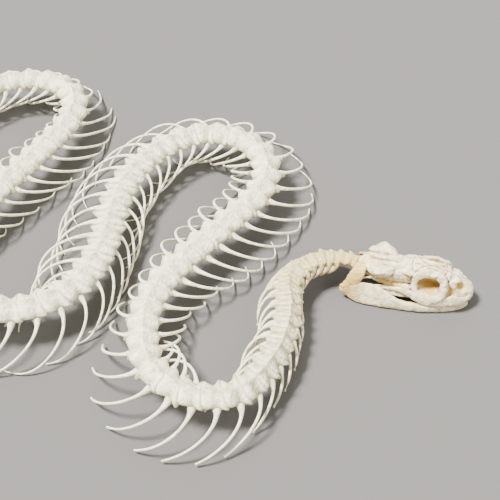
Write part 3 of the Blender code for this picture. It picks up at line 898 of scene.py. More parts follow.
# ---------------------------------------------------------------- ribs
@dataclass
class Ribs:
    """The ribs of one side, thin tubes that leave the spine square and come down tailwards.

    The upper parts of the neck's ribs are flat blades that lie against each other. Past its
    end a rib goes on as a thin curled tip. u runs from 0 at the root over 1 at the rib's end
    into the tip. Tables of both flanks say how far out a rib reaches, how far back its end
    lies and how high above the floor its foot is.
    """

    course: Course
    first_rib: int = 2
    root_out: float = 0.33
    root_drop: float = 0.13
    sweep: float = math.radians(112)
    fall: float = 1.8
    landing: float = 2.0
    reach_scatter: float = 0.06
    corners: int = 6
    stations: Sequence[float] = (-0.04, 0.03, 0.09, 0.17, 0.29, 0.42, 0.56, 0.70, 0.85, 1.0)
    curl_stations: Sequence[float] = (0.35, 0.7, 1.0)
    curl: Table = ((120, 0.0), (175, 0.3), (330, 0.3), (480, 0.25), (1000, 0.2), (1110, 0.1))
    curl_scatter: float = 0.5
    least_curl: float = 0.02
    # The blades' share of the way to the next rib, and the u where they begin to narrow.
    blade: Table = ((0, 0.62), (30, 0.5), (50, 0.4), (66, 0.34), (82, 0.0))
    blade_end: Table = ((0, 0.8), (22, 0.5), (34, 0.17), (62, 0.13), (90, 0.1))
    thickness: Table = (
        (-0.04, 1.5), (0.03, 1.35), (0.08, 0.98), (0.15, 0.70), (0.3, 0.56), (0.8, 0.50), (1.0, 0.42),
        (1.3, 0.24))
    stoutness: Table = ((0, 1.2), (60, 1.05), (100, 1.0), (900, 1.0), (1115, 0.62))
    head: Bell = Bell(0.25, 0.0, 0.12)
    flat_width: float = 1.2
    flat_swell: float = 0.5
    swelling: float = 0.1
    swelling_scale: float = 0.7
    # Painted shade at a rib's root, where it meets the vertebra, and along a blade's edges, where blades lie
    # against each other.
    root_shade: Bell = Bell(0.25, 0.02, 0.07)
    edge_shade: float = 0.4
    end_stain: Ramp = Ramp(0.0, 0.10, 0.6, 0.4)
    foot: dict[Flank, Table] = field(default_factory=lambda: {
        Flank.LEFT: ((0, 5.6), (20, 5.4), (45, 3.6), (66, 0.5)),
        Flank.RIGHT: (
            (0, 5.6), (20, 5.4), (45, 3.6), (66, 0.5), (86, 0.5), (91, 9.0), (100, 7.0), (112, 0.5)),
    })
    reach: dict[Flank, Table] = field(default_factory=lambda: {
        Flank.LEFT: (
            (8, 4.2), (20, 4.6), (45, 5.4), (62, 6.6), (76, 12), (88, 15.5), (100, 16.5), (116, 11.5),
            (135, 11), (165, 16.5), (190, 16), (215, 12), (240, 10), (265, 11), (285, 11), (315, 9),
            (328, 10), (345, 15), (375, 16), (400, 14), (430, 14), (455, 15), (475, 11), (500, 9),
            (540, 11), (570, 12), (610, 9), (655, 9), (700, 18), (760, 14), (800, 10), (850, 9),
            (900, 10), (960, 11), (1010, 13), (1060, 9), (1110, 5)),
        Flank.RIGHT: (
            (8, 4.4), (15, 5.0), (24, 5.8), (32, 8.3), (40, 8.6), (52, 10), (60, 8.4), (68, 6.4),
            (80, 6.2), (86, 7), (90, 15), (97, 14), (108, 12), (125, 12.5), (140, 15), (155, 17.5),
            (180, 16.5), (205, 14), (240, 17), (262, 17), (285, 18), (300, 18.5), (312, 22),
            (322, 21), (335, 12), (355, 8.5), (400, 8), (430, 11), (448, 14.5), (462, 13.4),
            (472, 10.5), (480, 8.5), (490, 8.5), (505, 12), (540, 15), (570, 13), (640, 13),
            (665, 10), (700, 9), (740, 10), (770, 13), (850, 16), (900, 13), (960, 10), (1010, 8),
            (1060, 8), (1110, 5)),
    })
    back: dict[Flank, Table] = field(default_factory=lambda: {
        Flank.LEFT: (
            (8, 3.0), (30, 4.5), (50, 6), (62, 9), (76, 18), (92, 15), (104, 15), (116, 13.5),
            (165, 15), (190, 13), (235, 13), (285, 16), (308, 13), (328, 14), (345, 17), (420, 17),
            (470, 15), (600, 15), (900, 13), (1110, 7)),
        Flank.RIGHT: (
            (8, 3.0), (15, 5), (24, 8), (32, 11), (60, 14), (92, 11), (120, 12), (150, 14), (180, 17),
            (196, 17), (230, 16), (290, 18), (306, 17), (345, 12), (400, 12), (452, 19), (476, 19),
            (520, 16), (600, 16), (900, 13), (1110, 7)),
    })

    def middle_line(self, s: np.ndarray, flank: Flank, number: np.ndarray, u: np.ndarray) -> np.ndarray:
        """Points on the ribs' middle lines.

        Seen from above a rib is an arc of an ellipse: its distance out follows the sine of
        the turn and its way back one minus the cosine. Its height falls as a power of u, and
        near the foot's height the fall eases off as a hyperbola does, so that the tip lies
        level.

        Args:
            s: where the ribs leave the spine.
            flank: the side.
            number: the vertebrae's numbers.
            u: how far along the rib.

        Returns:
            The points, with x, y and z on the last axis.
        """
        uneven = 1.0 + self.reach_scatter * scatter(number, 4.1 * flank.value)
        width = keyed(self.course.vertebra_width, s)
        root = self.root_out * width
        reach = keyed(self.reach[flank], s) * uneven
        back = keyed(self.back[flank], s) * (2.0 - uneven)
        turn = u * self.sweep
        out = root + (reach - root) * np.sin(turn)
        along = back * (1.0 - np.cos(turn)) / (1.0 - math.cos(self.sweep))
        top = keyed(self.course.axis_height, s) - self.root_drop * width
        foot = keyed(self.foot[flank], s)
        above = (top - foot) * (1.0 - np.clip(u, 0.0, 2.0) ** self.fall)
        z = foot + 0.5 * (above + np.sqrt(above**2 + self.landing**2))
        return self.course.place(s, flank.value * out, z, along, (1.0 - np.clip(u, 0.0, 1.0)) ** 2)

    def sizes(self, s: np.ndarray, u: np.ndarray, here: np.ndarray,
              spacing: np.ndarray) -> tuple[np.ndarray, np.ndarray]:
        """Half width and half thickness of the rings.

        A rib's head is a little wider than thick. A blade's half width is its share of the
        way to the next rib, and it is up to half as thick again as the rib that it ends in.

        Args:
            s: where the ribs leave the spine.
            u: how far along the rib.
            here: the rings' middles.
            spacing: the way to the next rib at each of them.

        Returns:
            The half widths and the half thicknesses.
        """
        uneven = 1.0 + self.swelling * unevenness(self.swelling_scale * here)
        girth = keyed(self.thickness, u) * keyed(self.stoutness, s) * uneven
        blade = keyed(self.blade, s) * spacing * (1.0 - smooth(u / keyed(self.blade_end, s) - 1.0))
        wide = np.maximum(girth * (1.0 + self.head.at(u)), blade)
        return wide, girth * (1.0 + self.flat_swell * smooth((wide / girth - self.flat_width) / 1.5))

    def shape(self, first: int, last: int, flank: Flank) -> Solid:
        """Builds the ribs of one side of a length of the trunk.

        Rings of six corners stand square to the middle line. On the neck their wide way
        points to the next rib, and elsewhere it is level. The curled tips stay level.

        Args:
            first: number of the first vertebra.
            last: number after the last one.
            flank: the side.

        Returns:
            The ribs as one solid with a mark of painted shade and the amber mark.
        """
        number = np.arange(max(first, self.first_rib), last)[:, None]
        joints = self.course.joints
        s = 0.5 * (joints[number] + joints[number + 1])
        pitch = joints[number + 1] - joints[number]
        curl = keyed(self.curl, s) * (1.0 + self.curl_scatter * scatter(number, 9.0 + flank.value))
        rib = np.broadcast_to(np.array(self.stations)[None, :], (len(s), len(self.stations)))
        tip = 1.0 + np.array(self.curl_stations)[None, :] * (curl + self.least_curl)
        u = np.concatenate([rib, tip], axis=1)
        here = self.middle_line(s, flank, number, u)
        before, beyond = (self.middle_line(s, flank, number, u + step) for step in (-0.02, 0.02))
        ahead = unit(beyond - before)
        ahead[..., 2] = np.where(u >= 1.0, 0.0, ahead[..., 2])
        ahead = unit(ahead)
        level = unit(np.stack([ahead[..., 1], -ahead[..., 0], np.zeros_like(ahead[..., 0])], axis=-1))
        following = self.middle_line(s + pitch, flank, number, u) - here
        following = following - (following * ahead).sum(axis=-1, keepdims=True) * ahead
        level = np.where((keyed(self.blade, s) > 0.0)[..., None], unit(following), level)
        lift = np.cross(level, ahead)
        wide, girth = self.sizes(s, u, here, np.linalg.norm(following, axis=-1))
        angle = 2.0 * math.pi * (np.arange(self.corners) + 0.5) / self.corners
        ring = (np.cos(angle)[None, None, :, None] * (level * wide[..., None])[:, :, None]
                + np.sin(angle)[None, None, :, None] * (lift * girth[..., None])[:, :, None])
        rings = here[:, :, None] + ring
        rings[..., 2] = np.maximum(rings[..., 2], 0.0)
        solid = loft(rings)
        # Painted shade at the root and along the edges of the flat blades, where they meet their neighbours.
        edge = np.abs(np.cos(angle)) * smooth(wide / girth - self.flat_width)[..., None]
        shade = self.root_shade.at(u)[..., None] + self.edge_shade * edge
        stain = self.end_stain.at(u) + keyed(self.course.stain, s)
        solid.marks["painted_shade"] = np.broadcast_to(shade, rings.shape[:3]).reshape(-1)
        solid.marks["amber"] = np.broadcast_to(stain[..., None], rings.shape[:3]).reshape(-1)
        return solid


@dataclass
class Body:
    """The trunk in lengths of twelve vertebrae, with ribs on both sides, and the tail in two."""

    course: Course
    per_length: int = 12
    per_tail_length: int = 16

    def build(self, workshop: Workshop) -> None:
        """Sets down the vertebrae and ribs, length by length.

        Args:
            workshop: what dresses the pieces and sets them down.
        """
        bones = Vertebrae(self.course)
        ribs = Ribs(self.course)
        trunk = self.course.trunk_vertebrae
        for k in range(trunk // self.per_length):
            name = "trunk_%02d" % (k + 1)
            first, last = k * self.per_length, (k + 1) * self.per_length
            nodes = [name + "_" + flank.of_animal for flank in Flank]
            workshop.set_down(name + "_vertebrae", bones.shape(first, last), Slot.SPINE, nodes)
            for flank in Flank:
                solid = ribs.shape(first, last, flank)
                workshop.set_down(name + "_ribs_" + flank.of_animal, solid, Slot.SPINE, [])
        for k in range(self.course.tail_vertebrae // self.per_tail_length):
            name = "tail_%02d" % (k + 1)
            first = trunk + k * self.per_tail_length
            solid = bones.shape(first, first + self.per_tail_length, tail=True)
            workshop.set_down(name + "_vertebrae", solid, Slot.SPINE, [name])


# ---------------------------------------------------------------- skull
def ellipsoid(centre: Sequence[float], radii: Sequence[float]) -> Solid:
    """A closed egg: rings whose radius follows the sine of the way from pole to pole.

    Args:
        centre: its middle.
        radii: half its size along x, y and z.

    Returns:
        The egg as a closed solid.
    """
    count, corners = 14, 20
    way = math.pi * (np.arange(count) + 0.5)[:, None] / count
    turn = 2.0 * math.pi * np.arange(corners)[None, :] / corners
    around = np.stack([np.cos(way) + 0.0 * turn, np.sin(way) * np.cos(turn), np.sin(way) * np.sin(turn)], -1)
    return loft(np.array(centre) + around * np.array(radii))


def section(turn: np.ndarray, squareness: float) -> tuple[np.ndarray, np.ndarray]:
    """A rounded box: cosine and sine of the turn, each to the power 2 over squareness.

    Args:
        turn: the angles round the section.
        squareness: 2 for an ellipse, more for a rounded box.

    Returns:
        How far across and how far up each corner lies, from -1 to 1.
    """
    c, s = np.cos(turn), np.sin(turn)
    power = 2.0 / squareness
    return np.sign(c) * np.abs(c) ** power, np.sign(s) * np.abs(s) ** power


def round_ends(t: np.ndarray, reach: float) -> np.ndarray:
    """How full a bar is at t: a quarter circle over reach at both ends and 1 between."""
    near = np.minimum(t, 1.0 - t) / reach
    return np.sqrt(np.clip(1.0 - (1.0 - np.clip(near, 0.0, 1.0)) ** 2, 0.004, 1.0))


def bar(rows: Table, side: float = 1.0, count: int = 48, corners: int = 16, squareness: float = 2.3,
        taper: float = 0.06) -> Solid:
    """A bone drawn along a smooth line through rows of (x, y, z, half width, half height, lean).

    Each ring stands square to the line. Lean turns it, in degrees, so that its top goes
    outwards. The ends are rounded off over the share taper.

    Args:
        rows: the places and sizes, for the animal's left.
        side: 1 for the left and -1 for the right.
        count: rings along the bone.
        corners: corners of each ring.
        squareness: 2 for an ellipse, more for a rounded box.
        taper: share of the length over which each end closes.

    Returns:
        The bone as a closed solid.
    """
    x, y, z, wide, high, lean = splined(rows, count).T
    line = np.stack([x, y, z], axis=1)
    ahead = unit(np.gradient(line, axis=0))
    across = unit(np.stack([-ahead[:, 1], ahead[:, 0], np.zeros(count)], axis=1))
    across *= np.where(across[:, 1:2] < 0.0, -1.0, 1.0)
    up = unit(np.cross(ahead, across))
    up *= np.where(up[:, 2:3] < 0.0, -1.0, 1.0)
    lean = np.radians(lean)[:, None]
    top = np.cos(lean) * up + np.sin(lean) * across
    out = np.cos(lean) * across - np.sin(lean) * up
    full = round_ends(np.linspace(0.0, 1.0, count), taper)[:, None, None]
    turn = 2.0 * math.pi * (np.arange(corners) + 0.5)[None, :] / corners
    sideways, upward = section(turn, squareness)
    rings = (line[:, None] + full * ((wide[:, None] * sideways)[..., None] * out[:, None]
                                     + (high[:, None] * upward)[..., None] * top[:, None]))
    rings[..., 1] *= side
    return loft(rings)


def sheet(rows: Table, side: float, cup: float, thickness: float) -> Solid:
    """A thin plate through rows of (rear, front, y, z), cupped by a parabola across it.

    Args:
        rows: where each row of the plate starts and ends along x, and its place across.
        side: 1 for the left and -1 for the right.
        cup: how far the plate's middle lies behind its edges.
        thickness: half the plate's thickness.

    Returns:
        The plate as a closed solid.
    """
    count, corners = 40, 20
    rear, front, y, z = splined(rows, count).T
    run = unit(np.gradient(np.stack([y, z], axis=1), axis=0))
    turn = 2.0 * math.pi * (np.arange(corners) + 0.5)[None, :] / corners
    along, proud = section(turn, 2.2)
    full = round_ends(np.linspace(0.0, 1.0, count), 0.06)[:, None]
    offset = thickness * proud * full - cup * (1.0 - along**2)
    x = 0.5 * (rear + front)[:, None] + 0.5 * (front - rear)[:, None] * along * full
    rings = np.stack([x, side * (y[:, None] + offset * run[:, 1:]), z[:, None] - offset * run[:, :1]], -1)
    return loft(rings)


def hull_loft(rows: Table, count: int, corners: int, squareness: float, flatten: float = 0.0) -> Solid:
    """A body along x through rows of (x, half width, low, high), level across.

    Args:
        rows: the sizes from rear to front.
        count: rings along the body.
        corners: corners of each ring.
        squareness: 2 for an ellipse, more for a rounded box.
        flatten: how much narrower the lower half is than the upper one, as a share.

    Returns:
        The body as a closed solid.
    """
    x, half, low, high = splined(rows, count).T
    turn = 2.0 * math.pi * (np.arange(corners) + 0.5)[None, :] / corners
    sideways, upward = section(turn, squareness)
    narrow = 1.0 - flatten * smooth(-upward)
    y = half[:, None] * sideways * narrow
    z = 0.5 * (low + high)[:, None] + 0.5 * (high - low)[:, None] * upward
    return loft(np.stack([x[:, None] + 0.0 * y, y, z], axis=-1))


TISSUE_START = 4.5                # dried tissue stains the bones behind this x,
TISSUE_LENGTH = 9.0               # more and more over this length
STAIN_SPREAD = 1.15               # reach of a dent's stain over the reach of its hollow
HOLLOW_ROUNDS = 12                # how wide the neighbourhood of a point is
SWELLING = 0.08                   # height of the unevenness of the skull's bones
# Painted light: the high places of the swellings get less painted shade and look brighter.
SWELLING_SHADE = 0.12             # how much brighter its high places are


@dataclass
class Dent:
    """A soft dent pressed into a bone, with the stain that it holds."""

    place: tuple[float, float, float]
    reach: float
    depth: float
    stain: float


def finished(solid: Solid, dents: Sequence[Dent], grooves: Callable[[np.ndarray], np.ndarray] | None = None,
             deepest: float = 0.09, tissue: float = 0.3, tint: float = 0.08) -> Solid:
    """Presses dents and grooves into a bone, paints shade into its hollows and marks its stains.

    A point moves against its outward direction by the depth of each dent times a bell over
    the distance, and then in or out by the bone's unevenness. It gets painted shade where it
    lies below the mean of the points around it, and less of it where the unevenness lifts it.

    Args:
        solid: the bone.
        dents: what is pressed in, for both sides where the bone has both.
        grooves: gives the depth of the seams at each point, in millimetres.
        deepest: how far below its neighbourhood a point gets full painted shade.
        tissue: how much dried tissue stains the bone at its end by the neck.
        tint: how much of the stain is all over it.

    Returns:
        The bone with a mark of painted shade and the amber mark.
    """
    points, normals = solid.points, solid.normals()
    depth = np.zeros(len(points))
    amber = tint + tissue * smooth((TISSUE_START - points[:, 0]) / TISSUE_LENGTH)
    for dent in dents:
        distance = np.linalg.norm(points - np.array(dent.place), axis=1)
        depth += dent.depth * gauss(distance, dent.reach)
        amber = np.maximum(amber, dent.stain * gauss(distance, dent.reach * STAIN_SPREAD))
    if grooves is not None:
        depth += grooves(points)
    solid.points = points - normals * depth[:, None]
    edges = solid.edges()
    mean = solid.points
    for _ in range(HOLLOW_ROUNDS):
        mean = solid.neighbour_mean(edges, mean)
    # Painted shade: how far each point lies below its neighbourhood, less on high places.
    below = np.einsum("ij,ij->i", mean - solid.points, normals)
    swell = unevenness(points)
    solid.points = solid.points + SWELLING * normals * swell[:, None]
    solid.marks["painted_shade"] = np.clip(below / deepest - SWELLING_SHADE * swell, 0.0, 1.0)
    solid.marks["amber"] = np.clip(amber, 0.0, 1.0)
    return solid


def both(place: tuple[float, float, float], reach: float, depth: float, stain: float) -> list[Dent]:
    """The same dent on the animal's left and right."""
    x, y, z = place
    return [Dent((x, side * y, z), reach, depth, stain) for side in (1.0, -1.0)]


@dataclass
class Cranium:
    """The braincase, the roof between the eyes, the eye rims and the snout, grown together.

    Bodies along x have rows of x, half width, low and high. Bars have rows of x, y, z, half
    width, half height and lean. The wing has rows of rear, front, y and z.
    """

    braincase: Table = (
        (-1.6, 1.2, 7.9, 9.9), (-0.6, 3.4, 6.9, 11.0), (2.0, 4.9, 5.9, 12.0), (6.0, 5.1, 5.4, 12.4),
        (10.0, 5.2, 5.2, 12.7), (13.0, 4.9, 5.2, 12.8), (15.6, 4.2, 5.3, 12.9), (18.0, 2.8, 5.4, 13.0),
        (20.0, 1.9, 5.4, 13.0))
    shelf: Table = (
        (3.0, 3.6, 6.6, 0.7, 0.7, 0.0), (7.5, 4.4, 6.1, 1.0, 1.0, 0.0), (12.5, 4.7, 6.0, 1.0, 1.0, 0.0),
        (17.0, 5.0, 6.3, 1.0, 0.8, 0.0))
    wing: Table = (
        (0.1, 10.4, 2.9, 12.0), (0.6, 9.6, 4.4, 12.1), (1.8, 8.6, 6.0, 12.1), (3.6, 7.0, 7.1, 12.0),
        (4.6, 6.0, 7.7, 11.8))
    wing_thickness: float = 0.65
    wing_cup: float = 0.3
    between_eyes: Table = (
        (13.0, 3.2, 11.2, 12.9), (17.5, 3.2, 11.9, 13.2), (21.0, 3.0, 12.1, 13.4), (25.0, 3.3, 11.8, 13.1),
        (28.5, 3.6, 10.4, 12.0))
    septum: Table = ((15.0, 1.7, 5.3, 12.6), (22.0, 1.4, 5.0, 12.8), (29.0, 1.9, 4.4, 11.6))
    eye_floor: Table = (
        (14.0, 2.2, 5.0, 6.6), (18.0, 5.2, 4.9, 6.8), (22.5, 6.8, 4.4, 6.6), (28.0, 5.9, 3.9, 7.6))
    snout: Table = (
        (26.2, 2.8, 5.4, 11.4), (27.6, 4.2, 4.2, 11.6), (29.4, 4.7, 3.7, 11.3), (31.6, 4.6, 3.4, 10.4),
        (33.6, 3.9, 3.3, 9.2), (35.2, 2.9, 3.3, 7.9), (36.2, 1.8, 3.5, 6.8), (36.6, 0.9, 4.2, 6.0))
    snout_rim: Table = (
        (31.5, 4.9, 3.9, 0.6, 0.8, 0.0), (33.8, 4.0, 4.2, 0.7, 1.0, 0.0), (35.5, 2.6, 4.6, 0.7, 1.2, 0.0),
        (36.1, 0.0, 4.8, 0.7, 1.3, 0.0))
    eye: tuple[float, float, float] = (22.3, 5.6, 8.9)
    eye_lean: float = math.radians(33)
    eye_radius: float = 4.7
    eye_groove_radius: float = 6.15
    brow_ridge: Table = (
        (17.6, 3.0, 12.5, 0.4, 0.4, 0.0), (19.4, 1.8, 13.1, 0.5, 0.5, 0.0), (22.4, 1.1, 13.5, 0.5, 0.5, 0.0),
        (25.4, 1.5, 13.1, 0.5, 0.5, 0.0), (27.2, 2.8, 12.0, 0.4, 0.4, 0.0))
    seam_depth: float = 0.2
    eye_groove_depth: float = 0.22
    voxel: float = 0.2
    softening: int = 9

    def eye_rim(self, side: float) -> Solid:
        """The ring of bone round an eye.

        Round the ring the band's half width swells in front, where the bone before the eye
        joins it, and above, where the brow stands out. The band is thinner than wide.

        Args:
            side: 1 for the left and -1 for the right.

        Returns:
            The ring as a closed solid.
        """
        count, corners = 48, 12
        turn = 2.0 * math.pi * np.arange(count)[:, None] / count
        twist = 2.0 * math.pi * np.arange(corners)[None, :] / corners
        forward = np.array([1.0, 0.0, 0.0])
        upward = np.array([0.0, -side * math.sin(self.eye_lean), math.cos(self.eye_lean)])
        outward = np.array([0.0, side * math.cos(self.eye_lean), math.sin(self.eye_lean)])
        radial = np.cos(turn)[..., None] * forward + np.sin(turn)[..., None] * upward
        front = np.clip(np.cos(turn), 0.0, 1.0) ** 2
        top = np.clip(np.sin(turn), 0.0, 1.0) ** 2
        low = np.clip(-np.sin(turn), 0.0, 1.0) ** 2
        half_band = 1.05 + 0.35 * front + 0.75 * top + 0.8 * low
        half_thick = 0.85 + 0.15 * front
        middle = self.eye_radius * (1.0 + 0.05 * np.cos(2.0 * turn)) + 0.3 * front - 0.1 * top - 0.4 * low
        band = half_band * np.cos(twist)
        proud = half_thick * np.sin(twist) + 0.35 * top * (1.0 + np.cos(twist))
        rings = (np.array([self.eye[0], side * self.eye[1], self.eye[2]])
                 + (middle + band)[..., None] * radial + proud[..., None] * outward)
        return ring_tube(rings)

    def eggs(self, side: float) -> list[Solid]:
        """The swellings of one side, each an egg that sinks into the bones round it."""
        places = {
            "ear capsule": ((5.6, 4.5, 11.2), (4.6, 2.7, 1.6)),
            "rear shoulder": ((2.3, 2.4, 10.7), (2.1, 1.8, 1.0)),
            "corner behind the eye": ((16.4, 3.1, 11.6), (4.2, 1.9, 1.1)),
            "bone before the eye": ((27.2, 5.0, 8.3), (1.7, 1.3, 3.4)),
            "brow": ((23.2, 4.2, 12.9), (1.3, 0.8, 0.7)),
            "nasal": ((29.9, 2.0, 10.3), (3.0, 1.6, 0.95)),
            "lip": ((29.5, 4.7, 5.0), (2.6, 1.1, 1.6)),
        }
        return [ellipsoid((x, side * y, z), radii) for (x, y, z), radii in places.values()]

    def middle_parts(self) -> list[Solid]:
        """The bodies that lie on the middle line, with three eggs behind and on the roof."""
        return [
            hull_loft(self.braincase, count=60, corners=28, squareness=2.4, flatten=0.08),
            hull_loft(self.between_eyes, count=30, corners=20, squareness=2.6),
            hull_loft(self.septum, count=24, corners=16, squareness=2.6),
            hull_loft(self.eye_floor, count=24, corners=20, squareness=2.4),
            hull_loft(self.snout, count=48, corners=28, squareness=2.5, flatten=0.1),
            ellipsoid((-1.9, 0.0, 8.7), (1.2, 1.3, 1.0)),
            ellipsoid((-0.8, 0.0, 9.7), (1.9, 2.1, 1.3)),
            ellipsoid((7.0, 0.0, 12.7), (6.5, 0.5, 0.75)),
        ]

    def dents(self) -> list[Dent]:
        """What is pressed into both sides: a place, a reach, a depth and a stain."""
        places = {
            "nostril": ((32.8, 3.2, 9.0), 1.7, 2.3, 1.0),
            "ear pit": ((1.8, 5.0, 9.0), 1.7, 0.9, 1.0),
            "pit before the eye": ((29.3, 5.2, 7.6), 1.6, 0.7, 0.8),
            "eye socket": ((22.3, 3.4, 7.6), 3.2, 0.5, 0.9),
            "upper rear of the socket": ((20.0, 1.8, 9.8), 2.6, 0.0, 0.8),
            "floor of the socket": ((22.5, 5.6, 6.4), 2.5, 0.0, 0.7),
            "side of the braincase": ((13.4, 4.4, 9.6), 2.0, 0.3, 0.15),
            "top of the snout": ((34.8, 2.0, 8.2), 0.9, 0.25, 0.5),
            "rear corner of the roof": ((2.4, 6.0, 12.6), 1.1, 0.45, 0.3),
            "rear of the roof": ((6.4, 2.6, 13.0), 1.2, 0.3, 0.15),
            "middle of the roof": ((11.0, 3.2, 12.6), 1.4, 0.3, 0.1),
            "rear of the brow": ((21.6, 3.0, 13.0), 0.7, 0.45, 0.2),
            "middle of the brow": ((23.2, 2.9, 13.0), 0.7, 0.5, 0.2),
            "front of the brow": ((24.8, 3.1, 12.6), 0.7, 0.45, 0.2),
            "rear of the shelf": ((7.0, 5.3, 6.4), 1.5, 0.1, 0.9),
            "middle of the shelf": ((9.6, 5.4, 6.5), 1.6, 0.1, 0.9),
            "front of the shelf": ((12.4, 5.4, 6.6), 1.5, 0.1, 0.8),
        }
        return [dent for values in places.values() for dent in both(*values)]

    def grooves(self, points: np.ndarray) -> np.ndarray:
        """Depth of the seams between the bones of the roof, and of a groove round each eye rim.

        One seam runs along the middle from the frontals forward, one crosses behind the eyes
        in a shallow bow, and one crosses at the root of the snout. The groove lies at its
        distance from the line that the eye looks along, a little wider at the top, and only
        on the outer face.

        Args:
            points: places in the skull's frame.

        Returns:
            One depth in millimetres for each place.
        """
        x, y, z = points.T
        above = smooth((z - 9.0) / 2.0)
        middle = gauss(y, 0.16) * smooth((x - 15.8) / 0.6) * smooth(35.0 - x)
        behind = gauss(x - 15.6 - 0.05 * y * y, 0.2) * smooth((3.8 - np.abs(y)) / 0.6)
        root = gauss(x - 27.4 + 0.22 * np.abs(y), 0.2) * smooth((4.4 - np.abs(y)) / 0.6)
        cos_lean, sin_lean = math.cos(self.eye_lean), math.sin(self.eye_lean)
        forward, out, up = x - self.eye[0], np.abs(y) - self.eye[1], z - self.eye[2]
        along = out * cos_lean + up * sin_lean
        high = np.clip(up * cos_lean - out * sin_lean, 0.0, None)
        across = np.sqrt(np.maximum(forward**2 + out**2 + up**2 - along**2, 0.0))
        rim = gauss(across - self.eye_groove_radius - 0.12 * high, 0.3) * smooth(along + 2.6)
        return self.seam_depth * above * (middle + behind + root) + self.eye_groove_depth * rim

    def shape(self) -> Solid:
        """Grows the parts together and presses in the nostrils, ear pits and seams.

        Returns:
            The cranium as one skin.
        """
        parts = self.middle_parts()
        for side in (1.0, -1.0):
            parts += [self.eye_rim(side), bar(self.snout_rim, side), bar(self.brow_ridge, side, count=40),
                      bar(self.shelf, side, count=40),
                      sheet(self.wing, side, self.wing_cup, self.wing_thickness), *self.eggs(side)]
        return finished(fused(parts, self.voxel, self.softening), self.dents(), self.grooves)


@dataclass
class UpperJaw:
    """The tooth-bearing bone below the eye and the thin strut that props it from behind."""

    rows: Table = (
        (34.9, 3.9, 3.9, 0.6, 0.9, 0.0), (32.2, 5.5, 4.7, 0.8, 1.8, -12.0),
        (29.0, 6.4, 4.6, 0.9, 1.9, -14.0), (26.2, 7.3, 4.1, 1.0, 1.4, -10.0),
        (23.0, 8.1, 4.1, 0.95, 1.3, -10.0), (19.6, 8.2, 5.1, 0.85, 1.4, -14.0),
        (16.6, 7.6, 6.2, 0.7, 1.25, -16.0), (13.0, 6.8, 6.4, 0.6, 0.9, -20.0),
        (9.4, 6.5, 5.6, 0.5, 0.6, 0.0), (7.2, 6.4, 5.2, 0.5, 0.5, 0.0))

    def shape(self, side: float) -> Solid:
        """Draws the bone and presses in its row of small holes.

        Args:
            side: 1 for the left and -1 for the right.

        Returns:
            The bone.
        """
        bone = bar(self.rows, side, count=96, corners=18, squareness=2.4, taper=0.04)
        dents = [Dent((x, side * y, z), 0.35, 0.25, 0.3) for x, y, z in
                 ((31.5, 6.6, 5.2), (28.6, 7.3, 5.0), (25.4, 8.3, 4.2))]
        return finished(bone, dents)


@dataclass
class Palate:
    """The long bar inside the upper jaw that runs back to the joint of the lower one."""

    rows: Table = (
        (27.0, 2.9, 3.2, 0.6, 0.5, 0.0), (20.0, 4.6, 4.0, 0.6, 1.0, -50.0), (16.0, 5.8, 4.4, 0.5, 1.5, -42.0),
        (9.5, 6.1, 4.5, 0.5, 1.6, -40.0), (5.0, 6.6, 4.6, 0.5, 1.3, -34.0), (0.0, 7.0, 4.4, 0.5, 0.8, -20.0),
        (-3.8, 7.4, 4.0, 0.5, 0.55, 0.0))

    def shape(self, side: float) -> Solid:
        """Draws the bar, stained where dried tissue is left on it.

        Args:
            side: 1 for the left and -1 for the right.

        Returns:
            The bone.
        """
        dents = [Dent((x, side * y, 5.8), 1.3, 0.1, 0.6) for x, y in ((12.8, 5.0), (10.0, 5.1), (7.2, 5.5))]
        return finished(bar(self.rows, side, count=72, corners=14, taper=0.05), dents)


@dataclass
class LowerJaw:
    """The lower jaw, low in front, with a tall thin crest before its joint."""

    rows: Table = (
        (-6.6, 9.0, 4.0, 0.5, 0.5, 0.0), (-5.2, 9.0, 3.7, 0.9, 1.6, -6.0),
        (-2.0, 9.2, 3.9, 0.8, 3.3, -16.0), (1.4, 9.2, 3.85, 0.7, 3.75, -26.0),
        (5.0, 9.2, 3.7, 0.7, 3.7, -26.0), (9.0, 9.6, 3.0, 0.9, 2.9, -20.0),
        (13.5, 9.4, 1.9, 1.05, 1.9, -8.0), (20.0, 8.8, 1.6, 1.1, 1.55, -4.0),
        (27.0, 6.9, 1.3, 1.1, 1.25, 0.0), (32.4, 4.6, 1.1, 1.0, 1.0, 0.0),
        (35.5, 1.7, 1.35, 0.8, 0.8, 0.0))
    # Place, reach, depth and stain of what is pressed into the outer face.
    hollows: Table = (
        (27.5, 7.9, 1.5, 0.4, 0.3, 0.3), (9.5, 10.8, 2.8, 0.6, 0.3, 0.1), (3.0, 9.9, 4.6, 2.6, 0.22, 0.0),
        (1.0, 10.2, 4.0, 0.6, 0.4, 0.4), (6.0, 10.2, 3.6, 1.6, 0.2, 0.15), (-3.4, 10.0, 3.2, 1.2, 0.15, 0.3))

    def seam(self, points: np.ndarray, side: float) -> np.ndarray:
        """Depth of the seam that runs forward as a wedge, on the outer face."""
        x, y, z = points[:, 0], side * points[:, 1], points[:, 2]
        outer = smooth((y - 9.0 + 0.11 * (x - 17.0)) / 0.3)
        return 0.14 * gauss(x - 17.5 - 1.1 * np.abs(z - 1.4), 0.22) * outer

    def shape(self, side: float) -> Solid:
        """Draws the bone, with the seam between its front and rear part and its small holes.

        Args:
            side: 1 for the left and -1 for the right.

        Returns:
            The bone, which stands on the floor.
        """
        bone = bar(self.rows, side, count=120, corners=20, squareness=2.5, taper=0.03)
        dents = [Dent((x, side * y, z), reach, depth, stain) for x, y, z, reach, depth, stain in self.hollows]
        solid = finished(bone, dents, lambda points: self.seam(points, side), tissue=0.45, tint=0.16)
        solid.points[:, 2] = np.maximum(solid.points[:, 2], 0.0)
        return solid


